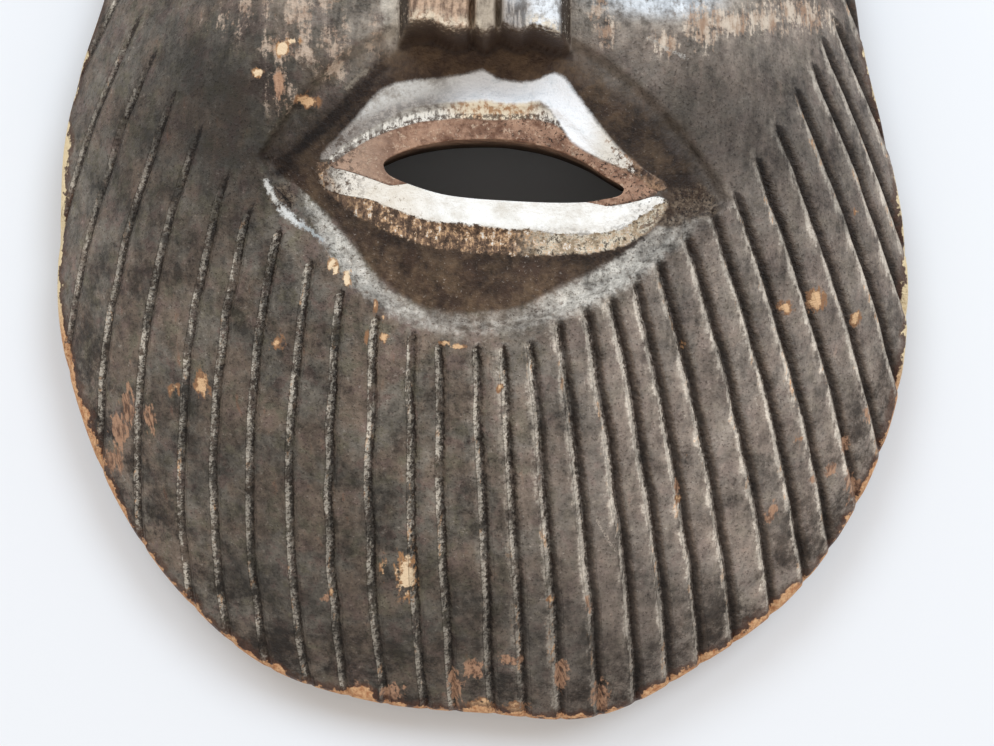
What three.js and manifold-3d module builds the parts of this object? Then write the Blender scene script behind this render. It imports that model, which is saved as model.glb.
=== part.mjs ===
// A face mask carved from one block of wood, with a broad grooved beard and a pierced mouth.
// It lies on its flat back rim with the face up. X runs across the face, Y up to the crown and
// Z out of the face. The origin is under the middle of the rim. All sizes are in millimetres.
import * as THREE from 'three';
import { mergeVertices } from 'three/addons/utils/BufferGeometryUtils.js';
import Module from 'manifold-3d';

// The rim's radius every 10 degrees about the origin, anticlockwise from +X
const RIM_RADII = [100, 98.3, 99.4, 103.2, 111.4, 123.7, 139.4, 154.5, 164.6, 168, 164.6, 154.5,
  139.4, 123.7, 111.5, 103.2, 99.9, 100.1, 104.3, 110.2, 116.6, 127, 136.5, 146.7,
  156.3, 164, 165.7, 166.2, 169.6, 163.8, 158.2, 149.2, 138.8, 127.2, 116, 106.4];
const EDGE = { height: 16, worn: 3.5, chamfer: 1.5 };
const DOME = { height: 62, power: 2.5 };
const HOLLOW = { share: 0.84, depth: 36, power: 6, mouth: 1.12 };

// The mouth has its own frame: its middle, and its tilt to the right-hand side
const MOUTH = { x: 3, y: -32, tilt: THREE.MathUtils.degToRad(-5.4) };
// Almond outlines about the mouth: middle and half width across, height above and depth below it.
// A fullness under 1 makes that side round, over 1 pointed. A lean moves its peak across.
const HOLE = { middle: 2.4, half: 29.3, top: 9, fullTop: 0.9, bottom: 5.8, fullBottom: 0.9, lean: -0.06 };
const LIP_INNER = { middle: -1.5, half: 39.5, top: 15, fullTop: 1.1, bottom: 8.2, fullBottom: 0.8, lean: 0 };
const LIP_CROWN = { middle: -1.2, half: 41.2, top: 20, fullTop: 1, bottom: 13, fullBottom: 0.65, lean: -0.03 };
const LIP_OUTER = { middle: -0.9, half: 42.9, top: 25, fullTop: 0.95, bottom: 18.2, fullBottom: 0.55, lean: -0.07 };
const BASIN = { middle: -0.3, half: 48, top: 28, fullTop: 0.92, bottom: 25.5, fullBottom: 0.9, lean: -0.06 };
const FOOT = { middle: 0.3, half: 53.2, top: 31.4, fullTop: 0.9, bottom: 31.9, fullBottom: 1.3, lean: -0.06 };
const CREST = { middle: 0.7, half: 57, top: 38, fullTop: 0.9, bottom: 37.5, fullBottom: 1, lean: -0.12 };
// Heights of those outlines above the mouth, at its corners and below it
const HEIGHTS = [
  { outline: HOLE, above: 45, corner: 47, below: 46 },
  { outline: LIP_INNER, above: 58.5, corner: 52.5, below: 57 },
  { outline: LIP_CROWN, above: 60.5, corner: 53.5, below: 58.5 },
  { outline: LIP_OUTER, above: 57, corner: 51, below: 52 },
  { outline: BASIN, above: 52.5, corner: 48.5, below: 47.5 },
  { outline: FOOT, above: 55, corner: 49, below: 50 },
];

const CHEEK = { x: 47, y: 12, rise: 7, wide: 24, tall: 26 };
const FOREHEAD = { y: 112, rise: 9, wide: 46, tall: 34 };
const SOCKET = { x: 37, y: 57, sink: 9, wide: 25, tall: 15 };
const EYE = { half: 21, tall: 9.5, rise: 7, point: 1.3, sides: 20, slitHalf: 15, slitTall: 3.2 };
const BROW = { from: 4, to: 70, y: 74, arch: 10, rise: 6, width: 5.5, sunk: 3, steps: 10 };
const NOSE = { top: 84, bottom: -1, toe: -4.5, wing: 18.7, bridge: 6.5, tip: 16.5, root: 10, lobe: 11.5,
  swell: 2.5, sunk: 4 };
const SEPTUM = { x: 1.4, width: 5.6, cut: 2, depth: 7, up: 11, clear: 20 };

// The beard starts at the jaw line, a parabola. Its grooves cross a level line at places set by hand,
// leaning outwards on the right-hand side, and they curve in towards the face above that line.
const JAW = { x: 2, y: -71.5, curve: 0.0115, top: 62 };
const LEVEL = -84.5;
const GROOVES_AT = [-131, -119, -108.2, -96.2, -84.9, -72.5, -63.9, -54.6, -44.6, -35.1, -25.6, -16.2,
  -9.4, -0.4, 6.2, 13.3, 21, 28.7, 36, 43.1, 50.8, 60.6, 69.8, 78.1, 87.9, 97.9, 108.3, 117.3, 124.5,
  132, 140];
const LEAN = { middle: 0.11, swing: 0.27, at: 14, over: 55 };
const FLARE = { left: 0.0022, leftOver: 60, right: -0.0008, rightOver: 40 };
const GROOVE = { width: 2.8, depth: 1.9, inset: 0.5, shortest: 16, clear: 3, steps: 7 };

// Spokes run out from the mouth, closer together towards the crown and the foot of the beard
const SPOKES = 64;
const SPOKE_CROWDING = 0.15;
const OUTER_RINGS = 12;
const BEARD_RINGS = 5;

const wasm = await Module();
wasm.setup();

function smooth(from, to, value) {
  return THREE.MathUtils.smoothstep(value, from, to);
}

function bump(x, y, wide, tall) {
  return Math.exp(-((x / wide) ** 2) - ((y / tall) ** 2));
}

// Rim radius in a direction, by a closed Catmull-Rom spline through the even radii
function rimRadius(angle) {
  const count = RIM_RADII.length;
  const place = THREE.MathUtils.euclideanModulo(angle / (2 * Math.PI), 1) * count;
  const index = Math.floor(place);
  const f = place - index;
  const [a, b, c, d] = [-1, 0, 1, 2].map((k) => RIM_RADII[(index + k + count) % count]);
  return 0.5 * (2 * b + (c - a) * f + (2 * a - 5 * b + 4 * c - d) * f ** 2
    + (3 * b - a - 3 * c + d) * f ** 3);
}

// 0 at the origin and 1 at the rim
function share(x, y) {
  return Math.hypot(x, y) / rimRadius(Math.atan2(y, x));
}

function fromMouth(angle, radius) {
  return new THREE.Vector2(radius * Math.cos(angle), radius * Math.sin(angle))
    .rotateAround(new THREE.Vector2(), MOUTH.tilt)
    .add(new THREE.Vector2(MOUTH.x, MOUTH.y));
}

function toMouth(x, y) {
  const local = new THREE.Vector2(x - MOUTH.x, y - MOUTH.y)
    .rotateAround(new THREE.Vector2(), -MOUTH.tilt);
  return { angle: Math.atan2(local.y, local.x), radius: local.length() };
}

// The largest radius from the mouth's middle for which a test still holds
function reach(angle, holds) {
  let low = 0;
  let high = 400;
  for (let i = 0; i < 30; i += 1) {
    const middle = (low + high) / 2;
    if (holds(middle)) low = middle;
    else high = middle;
  }
  return low;
}

function almondRadius(outline, angle) {
  return reach(angle, (radius) => {
    const across = (radius * Math.cos(angle) - outline.middle) / outline.half;
    const leaning = across - outline.lean * (1 - across ** 2);
    const room = Math.max(0, 1 - leaning ** 2);
    const up = radius * Math.sin(angle);
    return Math.abs(across) <= 1 && up <= outline.top * room ** outline.fullTop
      && up >= -outline.bottom * room ** outline.fullBottom;
  });
}

function shareRadius(level, angle) {
  return reach(angle, (radius) => {
    const point = fromMouth(angle, radius);
    return share(point.x, point.y) <= level;
  });
}

// The head without mouth, nose or eyes
function headForm(x, y) {
  const out = Math.min(1, share(x, y));
  const side = Math.abs(x);
  const inside = 1 - out ** DOME.power;
  return EDGE.height + (DOME.height - EDGE.height) * inside
    + inside * CHEEK.rise * bump(side - CHEEK.x, y - CHEEK.y, CHEEK.wide, CHEEK.tall)
    + inside * FOREHEAD.rise * bump(x, y - FOREHEAD.y, FOREHEAD.wide, FOREHEAD.tall)
    - SOCKET.sink * bump(side - SOCKET.x, y - SOCKET.y, SOCKET.wide, SOCKET.tall);
}

function stationHeight(station, angle) {
  const lift = Math.abs(Math.sin(angle)) ** 0.6;
  const middle = angle > 0 ? station.above : station.below;
  return THREE.MathUtils.lerp(station.corner, middle, lift);
}

// The face with its lips, the basin around them and the raised edge of the beard
function faceHeight(x, y) {
  const { angle, radius } = toMouth(x, y);
  const head = headForm(x, y);
  const crest = almondRadius(CREST, angle);
  if (radius >= crest) return head;
  const radii = HEIGHTS.map((station) => almondRadius(station.outline, angle));
  const last = radii.length - 1;
  if (radius >= radii[last]) {
    const foot = Math.min(stationHeight(HEIGHTS[last], angle), head);
    return THREE.MathUtils.lerp(foot, head, smooth(radii[last], crest, radius));
  }
  const next = Math.max(1, radii.findIndex((edge) => edge > radius));
  const along = (radius - radii[next - 1]) / (radii[next] - radii[next - 1]);
  return THREE.MathUtils.lerp(stationHeight(HEIGHTS[next - 1], angle),
    stationHeight(HEIGHTS[next], angle), THREE.MathUtils.clamp(along, 0, 1));
}

// Rings of points, each point an [x, y, z], joined into one closed skin
function closedSkin(rings, closedRound) {
  const count = rings[0].length;
  const positions = rings.flat(2);
  const index = [];
  const last = closedRound ? rings.length : rings.length - 1;
  for (let i = 0; i < last; i += 1) {
    for (let j = 0; j < count; j += 1) {
      const a = i * count + j;
      const b = i * count + ((j + 1) % count);
      const c = ((i + 1) % rings.length) * count + j;
      const d = ((i + 1) % rings.length) * count + ((j + 1) % count);
      index.push(a, c, b, b, c, d);
    }
  }
  if (!closedRound) {
    const end = (rings.length - 1) * count;
    for (let j = 1; j < count - 1; j += 1) {
      index.push(0, j, j + 1, end, end + j + 1, end + j);
    }
  }
  const geometry = new THREE.BufferGeometry();
  geometry.setAttribute('position', new THREE.Float32BufferAttribute(positions, 3));
  geometry.setIndex(index);
  return geometry;
}

// A manifold body of a closed skin, whichever way round its rings were given
function solid(geometry) {
  const bare = geometry.clone();
  bare.deleteAttribute('normal');
  bare.deleteAttribute('uv');
  const merged = mergeVertices(bare, 1e-4);
  const triangles = [];
  for (let i = 0; i < merged.index.count; i += 3) {
    const [a, b, c] = merged.index.array.slice(i, i + 3);
    if (a !== b && b !== c && c !== a) triangles.push([a, b, c]);
  }
  const body = (faces) => new wasm.Manifold(new wasm.Mesh({
    numProp: 3,
    vertProperties: new Float32Array(merged.attributes.position.array),
    triVerts: new Uint32Array(faces.flat()),
  }));
  const first = body(triangles);
  return first.volume() > 0 ? first : body(triangles.map((face) => face.toReversed()));
}

// The shell: front, worn edge, back rim, hollow and the mouth's opening, as one ring of rings
function shell() {
  const angles = Array.from({ length: SPOKES }, (_, k) => {
    const even = -Math.PI + (2 * Math.PI * (k + 0.5)) / SPOKES;
    return even + SPOKE_CROWDING * Math.sin(2 * even);
  });
  const ring = (radiusAt, heightAt) => angles.map((angle) => {
    const point = fromMouth(angle, radiusAt(angle));
    return [point.x, point.y, heightAt(point, angle)];
  });
  const front = (point) => faceHeight(point.x, point.y);
  const rings = HEIGHTS.map((station) => ring(
    (angle) => almondRadius(station.outline, angle),
    (point, angle) => stationHeight(station, angle)));
  const worn = 1 - EDGE.chamfer / RIM_RADII[0];
  for (let i = 0; i <= OUTER_RINGS; i += 1) {
    rings.push(ring((angle) => {
      const count = angle < 0 ? BEARD_RINGS : OUTER_RINGS;
      const f = Math.round((i / OUTER_RINGS) * count) / count;
      return THREE.MathUtils.lerp(almondRadius(CREST, angle), shareRadius(worn, angle), f);
    }, front));
  }
  const rim = (angle) => shareRadius(1, angle);
  rings.push(ring(rim, () => EDGE.height - EDGE.worn));
  rings.push(ring(rim, () => EDGE.chamfer));
  rings.push(ring((angle) => shareRadius(worn, angle), () => 0));
  for (const inward of [1, 0.97, 0.9, 0.78, 0.55]) {
    const height = HOLLOW.depth * (1 - inward ** HOLLOW.power);
    rings.push(ring((angle) => shareRadius(HOLLOW.share * inward, angle), () => height));
  }
  rings.push(ring((angle) => HOLLOW.mouth * almondRadius(HOLE, angle), () => HOLLOW.depth));
  return solid(closedSkin(rings, true));
}

// The long nose: a ridge that widens to two lobes beside the septum
function noseHeight(x, y) {
  const up = THREE.MathUtils.clamp((y - NOSE.bottom) / (NOSE.top - NOSE.bottom), 0, 1);
  const across = Math.abs(x) / noseHalf(y);
  const rise = THREE.MathUtils.lerp(NOSE.tip, NOSE.root, up ** 0.8) * (1 - smooth(0.8, 1, up));
  const lobes = NOSE.swell * bump(Math.abs(x) - NOSE.lobe, y - 7, 6, 10);
  const round = Math.max(0, 1 - across ** 3.2) ** 0.6;
  return headForm(x, Math.max(y, 0)) - NOSE.sunk + (rise + NOSE.sunk) * round + lobes * round;
}

function noseHalf(y) {
  const up = (y - NOSE.bottom) / (NOSE.top - NOSE.bottom);
  return NOSE.bridge + (NOSE.wing - NOSE.bridge) * (1 - smooth(0.08, 0.62, up));
}

function nose() {
  const rings = [];
  const stations = [-1, -0.95, -0.78, -0.58, -0.3, 0, 0.3, 0.58, 0.78, 0.95, 1];
  for (const y of [NOSE.toe, NOSE.bottom, 3, 8, 14, 22, 32, 42, 52, 64, 74, NOSE.top]) {
    const toe = y === NOSE.toe;
    const top = stations.map((k) => {
      const x = k * noseHalf(y);
      return [x, y, toe ? headForm(x, y) - NOSE.sunk : noseHeight(x, y)];
    });
    const under = [1, -1].map((k) => [k * noseHalf(y), y, headForm(k * noseHalf(y), y) - 2 * NOSE.sunk]);
    rings.push([...top, ...under]);
  }
  return solid(closedSkin(rings, false));
}

// A brow: a half-round bar along an arch, sunk in the face at both ends
function brow(side) {
  const rings = [];
  const section = [[-1, 0], [-0.75, 0.7], [0, 1], [0.75, 0.7], [1, 0]];
  for (let i = 0; i <= BROW.steps; i += 1) {
    const f = i / BROW.steps;
    const x = THREE.MathUtils.lerp(BROW.from, BROW.to, f);
    const y = BROW.y + BROW.arch * Math.sin(Math.PI * f ** 0.8);
    const swell = 0.05 + 0.95 * Math.sin(Math.PI * f) ** 0.5;
    const foot = headForm(x, y) - BROW.sunk;
    rings.push(section.map(([across, up]) => [side * x, y + across * BROW.width,
      foot + up * swell * (BROW.rise + BROW.sunk)]));
  }
  return solid(closedSkin(rings, false));
}

// The lids: a low almond mound in the socket
function lids(side) {
  const rings = [];
  const floor = headForm(SOCKET.x, SOCKET.y);
  for (const [share, rise] of [[1.02, -0.6], [1, 0.1], [0.86, 0.52], [0.6, 0.82], [0.25, 0.98]]) {
    rings.push(Array.from({ length: EYE.sides }, (_, k) => {
      const angle = (2 * Math.PI * k) / EYE.sides;
      const up = Math.abs(Math.sin(angle)) ** EYE.point * Math.sign(Math.sin(angle));
      const x = SOCKET.x + share * EYE.half * Math.cos(angle);
      const y = SOCKET.y + share * EYE.tall * up;
      const ground = THREE.MathUtils.lerp(floor, headForm(x, y), share ** 2);
      return [side * x, y, ground + EYE.rise * rise];
    }));
  }
  return solid(closedSkin(rings, false));
}

// A straight cut through the whole mask, with an almond outline
function eyeSlit(side) {
  const outline = new THREE.Shape();
  const steps = 10;
  for (let k = 0; k < 2 * steps; k += 1) {
    const angle = (Math.PI * k) / steps;
    const x = side * SOCKET.x + EYE.slitHalf * Math.cos(angle);
    const y = SOCKET.y + EYE.slitTall * Math.sin(angle);
    if (k === 0) outline.moveTo(x, y);
    else outline.lineTo(x, y);
  }
  const through = new THREE.ExtrudeGeometry(outline, { depth: 120, bevelEnabled: false });
  return solid(through.translate(0, 0, -10));
}

// The cut between the septum and one wing of the nose, open to the front and below
function septumCut(side) {
  const cut = new THREE.BoxGeometry(SEPTUM.cut, SEPTUM.up, SEPTUM.depth + SEPTUM.clear);
  const x = SEPTUM.x + side * (SEPTUM.width + SEPTUM.cut) / 2;
  const z = noseHeight(SEPTUM.x, SEPTUM.up / 2) + (SEPTUM.clear - SEPTUM.depth) / 2;
  return solid(cut.translate(x, NOSE.toe + SEPTUM.up / 2 - 1, z));
}

// A groove's place across the face at a height y
function groovePlace(at, y) {
  const down = LEVEL - y;
  const lean = LEAN.middle + LEAN.swing * Math.tanh((at - LEAN.at) / LEAN.over);
  const flare = at < 0 ? FLARE.left * Math.tanh(-at / FLARE.leftOver)
    : FLARE.right * Math.tanh(at / FLARE.rightOver);
  return at + lean * down + flare * down ** 2;
}

function jawLine(x) {
  return JAW.y + JAW.curve * (x - JAW.x) ** 2;
}

function onBeard(x, y) {
  const { angle, radius } = toMouth(x, y);
  return share(x, y) < 1.02 && y < jawLine(x) && radius > almondRadius(CREST, angle) + GROOVE.inset;
}

// A groove's run from the jaw line to the rim, found by walking down its path
function grooveRun(at) {
  const points = [];
  for (let y = JAW.top; y > -180; y -= 1) {
    const x = groovePlace(at, y);
    if (onBeard(x, y)) points.push([x, y]);
  }
  return points;
}

// A V-shaped cutter that follows the surface and fades in at the jaw line
function grooveCutter(at) {
  const run = grooveRun(at);
  if (run.length < GROOVE.shortest) return undefined;
  const rings = [];
  for (let i = 0; i <= GROOVE.steps; i += 1) {
    const [x, y] = run[Math.round(((run.length - 1) * i) / GROOVE.steps)];
    const z = faceHeight(x, y);
    const depth = i === 0 ? -0.3 : GROOVE.depth;
    const half = (GROOVE.width / 2) * ((GROOVE.clear + GROOVE.depth) / GROOVE.depth);
    rings.push([[x - half, y, z + GROOVE.clear], [x, y, z - depth], [x + half, y, z + GROOVE.clear]]);
  }
  return solid(closedSkin(rings, false));
}

function carve() {
  let body = shell();
  body = body.add(nose());
  for (const side of [-1, 1]) {
    body = body.add(brow(side));
    body = body.add(lids(side));
    body = body.subtract(eyeSlit(side));
    body = body.subtract(septumCut(side));
  }
  const cutters = GROOVES_AT.map(grooveCutter).filter(Boolean);
  return body.subtract(wasm.Manifold.union(cutters));
}

function maskGeometry() {
  const { vertProperties, triVerts } = carve().getMesh();
  const geometry = new THREE.BufferGeometry();
  geometry.setAttribute('position', new THREE.Float32BufferAttribute(vertProperties, 3));
  geometry.setIndex(Array.from(triVerts));
  return geometry;
}

const carvedWood = new THREE.MeshStandardMaterial({ color: 0x4f4843, roughness: 0.6, metalness: 0 });
const mask = new THREE.Mesh(maskGeometry(), carvedWood);
mask.name = 'mask';

const part = new THREE.Group();
part.add(mask);

export default part;
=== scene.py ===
import math

import bpy
import numpy as np
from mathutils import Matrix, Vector


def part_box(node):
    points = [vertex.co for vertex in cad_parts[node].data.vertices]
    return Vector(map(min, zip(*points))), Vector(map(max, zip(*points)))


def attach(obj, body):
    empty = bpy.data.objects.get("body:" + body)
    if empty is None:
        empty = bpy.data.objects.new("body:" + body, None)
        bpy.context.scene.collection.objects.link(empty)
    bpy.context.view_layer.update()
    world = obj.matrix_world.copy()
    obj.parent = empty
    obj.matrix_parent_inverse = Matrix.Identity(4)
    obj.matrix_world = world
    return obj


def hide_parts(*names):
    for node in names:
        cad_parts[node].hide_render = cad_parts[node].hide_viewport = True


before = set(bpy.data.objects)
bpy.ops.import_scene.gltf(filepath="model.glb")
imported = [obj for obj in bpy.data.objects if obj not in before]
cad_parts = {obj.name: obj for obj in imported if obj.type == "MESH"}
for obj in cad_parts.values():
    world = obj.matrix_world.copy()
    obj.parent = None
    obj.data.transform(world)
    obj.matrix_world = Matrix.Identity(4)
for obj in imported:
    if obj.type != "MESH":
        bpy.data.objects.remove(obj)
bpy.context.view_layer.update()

# The block and its head form
# One block of light hardwood, cut to a broad shield and rounded over with an adze, thick at the
# middle and about sixteen millimetres at the rim. Every later cut goes into this form.

# The rim's radius every ten degrees about the middle, anticlockwise from the right-hand side
RIM_RADII = np.array([
    100, 98.3, 99.4, 103.2, 111.4, 123.7, 139.4, 154.5, 164.6, 168, 164.6, 154.5,
    139.4, 123.7, 111.5, 103.2, 99.9, 100.1, 104.3, 110.2, 116.6, 127, 136.5, 146.7,
    156.3, 164, 165.7, 166.2, 169.6, 163.8, 158.2, 149.2, 138.8, 127.2, 116, 106.4])
EDGE_HEIGHT = 16
EDGE_ROUND = 3.5
DOME_HEIGHT = 62
DOME_POWER = 2.5
CHEEK = {"x": 47, "y": 12, "rise": 7, "wide": 24, "tall": 26}
FOREHEAD = {"y": 112, "rise": 9, "wide": 46, "tall": 34}
SOCKET = {"x": 37, "y": 57, "sink": 9, "wide": 25, "tall": 15}


def bump(x, y, wide, tall):
    return np.exp(-((x / wide) ** 2) - ((y / tall) ** 2))


def rim_radius(angle):
    count = len(RIM_RADII)
    place = (angle / (2 * math.pi) % 1) * count
    index = np.floor(place).astype(int)
    f = place - index
    a, b, c, d = (RIM_RADII[(index + k) % count] for k in (-1, 0, 1, 2))
    return 0.5 * (2 * b + (c - a) * f + (2 * a - 5 * b + 4 * c - d) * f**2
                  + (3 * b - a - 3 * c + d) * f**3)


def share(x, y):
    """0 at the middle of the mask and 1 at its rim."""
    return np.hypot(x, y) / rim_radius(np.arctan2(y, x))


def head_form(x, y):
    inside = 1 - np.minimum(1, share(x, y)) ** DOME_POWER
    side = np.abs(x)
    cheek = CHEEK["rise"] * bump(side - CHEEK["x"], y - CHEEK["y"], CHEEK["wide"], CHEEK["tall"])
    brow = FOREHEAD["rise"] * bump(x, y - FOREHEAD["y"], FOREHEAD["wide"], FOREHEAD["tall"])
    socket = SOCKET["sink"] * bump(
        side - SOCKET["x"], y - SOCKET["y"], SOCKET["wide"], SOCKET["tall"])
    return EDGE_HEIGHT + inside * (DOME_HEIGHT - EDGE_HEIGHT + cheek + brow) - socket


# The mouth
# An almond pierced through the wood, tilted to the right. Two full lips stand in a sunk basin,
# and the basin's lower edge is the raised rim where the beard starts.
MOUTH_X, MOUTH_Y = 3, -32
MOUTH_TILT = math.radians(-5.4)
# Outlines of the mouth, as places across and up from its middle along the tilted mouth line
HOLE_LINE = [
    (30.4, -0.4), (30.0, 0.8), (25.4, 2.9), (20.3, 5.5), (15.3, 7.1), (11.3, 8.0), (7.1, 8.5),
    (0, 8.7), (-9.6, 7.6), (-16.6, 5.9), (-20.4, 4.5), (-24.1, 2.6), (-25.9, 1.0), (-25.8, -0.3),
    (-25, -1.4), (-23.3, -2.4), (-18.3, -3.9), (-11.7, -5.2), (-5.2, -5.5), (3.5, -5.3),
    (13.2, -4.8), (21.2, -3.9), (25.9, -2.7), (29.3, -1.6)]
INNER_LINE = [
    (38.6, 0.6), (37, 3.0), (32.3, 5.4), (28.2, 6.6), (24.3, 7.9), (21, 9.3), (18.3, 10.8),
    (15.6, 12.7), (12.9, 14.2), (7.8, 14.9), (1.6, 14.3), (-3.7, 13.8), (-10, 13.4), (-14.9, 12.4),
    (-19.2, 11.5), (-23.7, 9.7), (-26.8, 8.3), (-31.2, 5.8), (-34.5, 3.4), (-38.2, 0.3),
    (-38.4, -1.1), (-34.4, -1.8), (-29.5, -2.9), (-24.6, -4.2), (-20.6, -5.3), (-16.4, -6.2),
    (-10, -6.9), (-3, -7.1), (4, -7), (13, -6.5), (21, -5.6), (26, -4.6), (31, -3.2), (36, -1.4)]
OUTER_LINE = [
    (41.4, 0.4), (39.6, 3.0), (36.9, 4.4), (33.9, 6.0), (30.6, 8.0), (27.2, 10.6), (23.7, 14),
    (20.2, 17.6), (17.4, 20.7), (14.6, 24), (11.9, 25.2), (9.4, 24.2), (7.6, 23.1), (3.9, 22.4),
    (-0.8, 22.7), (-3.2, 23.8), (-5.3, 24.4), (-7.7, 23.5), (-13.8, 21.8), (-20.1, 20.6),
    (-25, 19.3), (-28, 17.6), (-30.5, 14.8), (-33.8, 10.2), (-37.5, 5.7), (-40.5, 2.2),
    (-41.5, -1.6), (-39.5, -6), (-36, -8.9), (-33.1, -10.8), (-28.1, -13.2), (-23.2, -15),
    (-18.4, -16.4), (-13, -17.5), (-8.8, -17.9), (-1.7, -17.8), (5.4, -17.6), (12.4, -17),
    (17, -16.4), (22, -15.8), (28, -14.4), (33.5, -11.9), (37.8, -8.4), (40.6, -4)]


def smooth(low, high, value):
    share_of_way = np.clip((value - low) / (high - low), 0, 1)
    return share_of_way * share_of_way * (3 - 2 * share_of_way)


def mix(a, b, share_of_way):
    return a + (b - a) * share_of_way


def traced(places):
    """The radius of a closed outline about the mouth, by angle."""
    places = np.array(places, float)
    a, b, c, d = (np.roll(places, k, 0)[:, None, :] for k in (1, 0, -1, -2))
    f = np.linspace(0, 1, 12, endpoint=False)[None, :, None]
    line = 0.5 * (2 * b + (c - a) * f + (2 * a - 5 * b + 4 * c - d) * f**2
                  + (3 * b - a - 3 * c + d) * f**3)
    line = line.reshape(-1, 2)
    angles, radii = np.arctan2(line[:, 1], line[:, 0]), np.hypot(*line.T)
    return lambda angle: np.interp(angle, angles, radii, period=2 * math.pi)


def almond(middle, half, top, full_top, bottom, full_bottom, lean):
    """The radius of an almond outline about the mouth, by angle."""
    angles = np.radians(np.arange(-180, 180.5, 0.5))
    low, high = np.zeros_like(angles), np.full_like(angles, 200)
    for _ in range(26):
        radius = (low + high) / 2
        across = (radius * np.cos(angles) - middle) / half
        room = np.maximum(0, 1 - (across - lean * (1 - across**2)) ** 2)
        up = radius * np.sin(angles)
        inside = (np.abs(across) <= 1) & (up <= top * room**full_top)
        inside &= up >= -bottom * room**full_bottom
        low, high = np.where(inside, radius, low), np.where(inside, high, radius)
    return lambda angle: np.interp(angle, angles, low)


def lip_crown(angle):
    """The highest line of the lips: near the inner edge above, half-way out below."""
    return mix(LIP_INNER(angle), LIP_OUTER(angle), mix(0.42, 0.3, smooth(-0.3, 0.3, angle)))


HOLE, LIP_INNER, LIP_OUTER = traced(HOLE_LINE), traced(INNER_LINE), traced(OUTER_LINE)
# Almonds have a middle and a half width, a top and a bottom with their fullness, and a lean
BASIN = almond(-0.3, 48, 29, 0.92, 25.5, 0.9, -0.06)
FOOT = almond(0.3, 53.2, 32.4, 0.9, 31.9, 1.3, -0.06)
CREST = almond(0.7, 57, 38, 0.9, 37.5, 1, -0.12)
# Outline, its height above the mouth, at the corners and below it, and how roundly the surface
# comes up to it
STATIONS = [
    (HOLE, 45, 47, 46, 0), (lambda angle: LIP_INNER(angle) - 0.5, 55.5, 51.5, 56, 0.2),
    (LIP_INNER, 58, 52.5, 57, 0.2), (lip_crown, 61, 54, 59, 0.8),
    (LIP_OUTER, 57, 51.5, 52, 0.5), (lambda angle: LIP_OUTER(angle) + 1.3, 54.2, 50, 50.5, 0.7),
    (BASIN, 52.5, 48.5, 47.5, 0.6), (FOOT, 55, 49, 50, 0.5)]
# Folds along the foot of the slope: the angles over which each fades in and out, its place out
# from the foot, its half width and its rise
FOLDS = [((1.75, 2.2), (3.3, 3.2), -0.5, 1.3, -2.0), ((0, 0.2), (1.3, 0.9), 1, 2.6, -0.7),
         ((1.9, 2.1), (2.75, 2.5), -4, 1.1, 0.8)]


def to_mouth(x, y):
    dx, dy = x - MOUTH_X, y - MOUTH_Y
    across = dx * math.cos(MOUTH_TILT) + dy * math.sin(MOUTH_TILT)
    up = dy * math.cos(MOUTH_TILT) - dx * math.sin(MOUTH_TILT)
    return np.arctan2(up, across), np.hypot(across, up)


def face_height(x, y):
    angle, radius = to_mouth(x, y)
    head = head_form(x, y)
    lift = np.abs(np.sin(angle)) ** 0.6
    heights = [mix(corner, np.where(angle > 0, above, below), lift)
               for _, above, corner, below, _ in STATIONS]
    heights[-1] = np.minimum(heights[-1], head)
    radii = [outline(angle) for outline, *_ in STATIONS]
    height = heights[0]
    for k in range(1, len(STATIONS)):
        along = np.clip((radius - radii[k - 1]) / (radii[k] - radii[k - 1]), 0, 1)
        along = mix(along, smooth(0, 1, along), STATIONS[k][4])
        height = np.where(radius >= radii[k - 1], mix(heights[k - 1], heights[k], along), height)
    rise = smooth(0, 1, (radius - radii[-1]) / (CREST(angle) - radii[-1]))
    height = np.where(radius >= radii[-1], mix(heights[-1], head, rise), height)
    for fade_in, fade_out, out, half_width, rise in FOLDS:
        along = smooth(*fade_in, angle) * smooth(*fade_out, angle)
        height = height + rise * along * bump(radius - FOOT(angle) - out, 0, half_width, 1)
    return height


# Nose, brows and lids
# They are left standing when the face is cut back: a long nose with two lobes beside the septum,
# arched brows, and almond lids that are slit right through.
NOSE = {"x": 0.9, "top": 84, "bottom": -0.6, "wing": 19.4, "bridge": 6.5, "tip": 16.5, "root": 10,
        "lobe": 10, "swell": 2.0, "sunk": 4, "under": 1.5}
# The worn lower edge of the nose, from wing to wing
NOSE_EDGE_AT = (-19, -15.4, -11, -7.9, -5.9, -3.4, -2, -0.8, 1, 2.8, 4.7, 7.2, 9.2, 11.6, 13.9,
                16.3, 20)
NOSE_EDGE = (-1.2, 0.3, 0.3, -1.2, -1.7, -1.4, -0.4, -1.4, -2.6, -1.2, -0.1, -1.4, -1.9, -0.7, -1.4,
             -2, -3)
SEPTUM = {"x": 1, "width": 4.4, "cut": 1.6, "depth": 7, "top": 5.5}
BROW = {"from": 4, "to": 70, "y": 74, "arch": 10, "rise": 6, "width": 5.5, "sunk": 3}
EYE = {"half": 21, "tall": 9.5, "rise": 7, "slit_half": 15, "slit_tall": 3.2}
# A height far under the face, for where there is no nose or lid
NOWHERE = -50
# Radii of the fillets where they meet the face
FILLET = {"nose": 1.6, "brow": 1.5, "lid": 1.0}
# The adze's dents over the whole front: depth, size and seed
DENTS = [(0.35, 15, 1), (0.18, 6, 2)]


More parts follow.
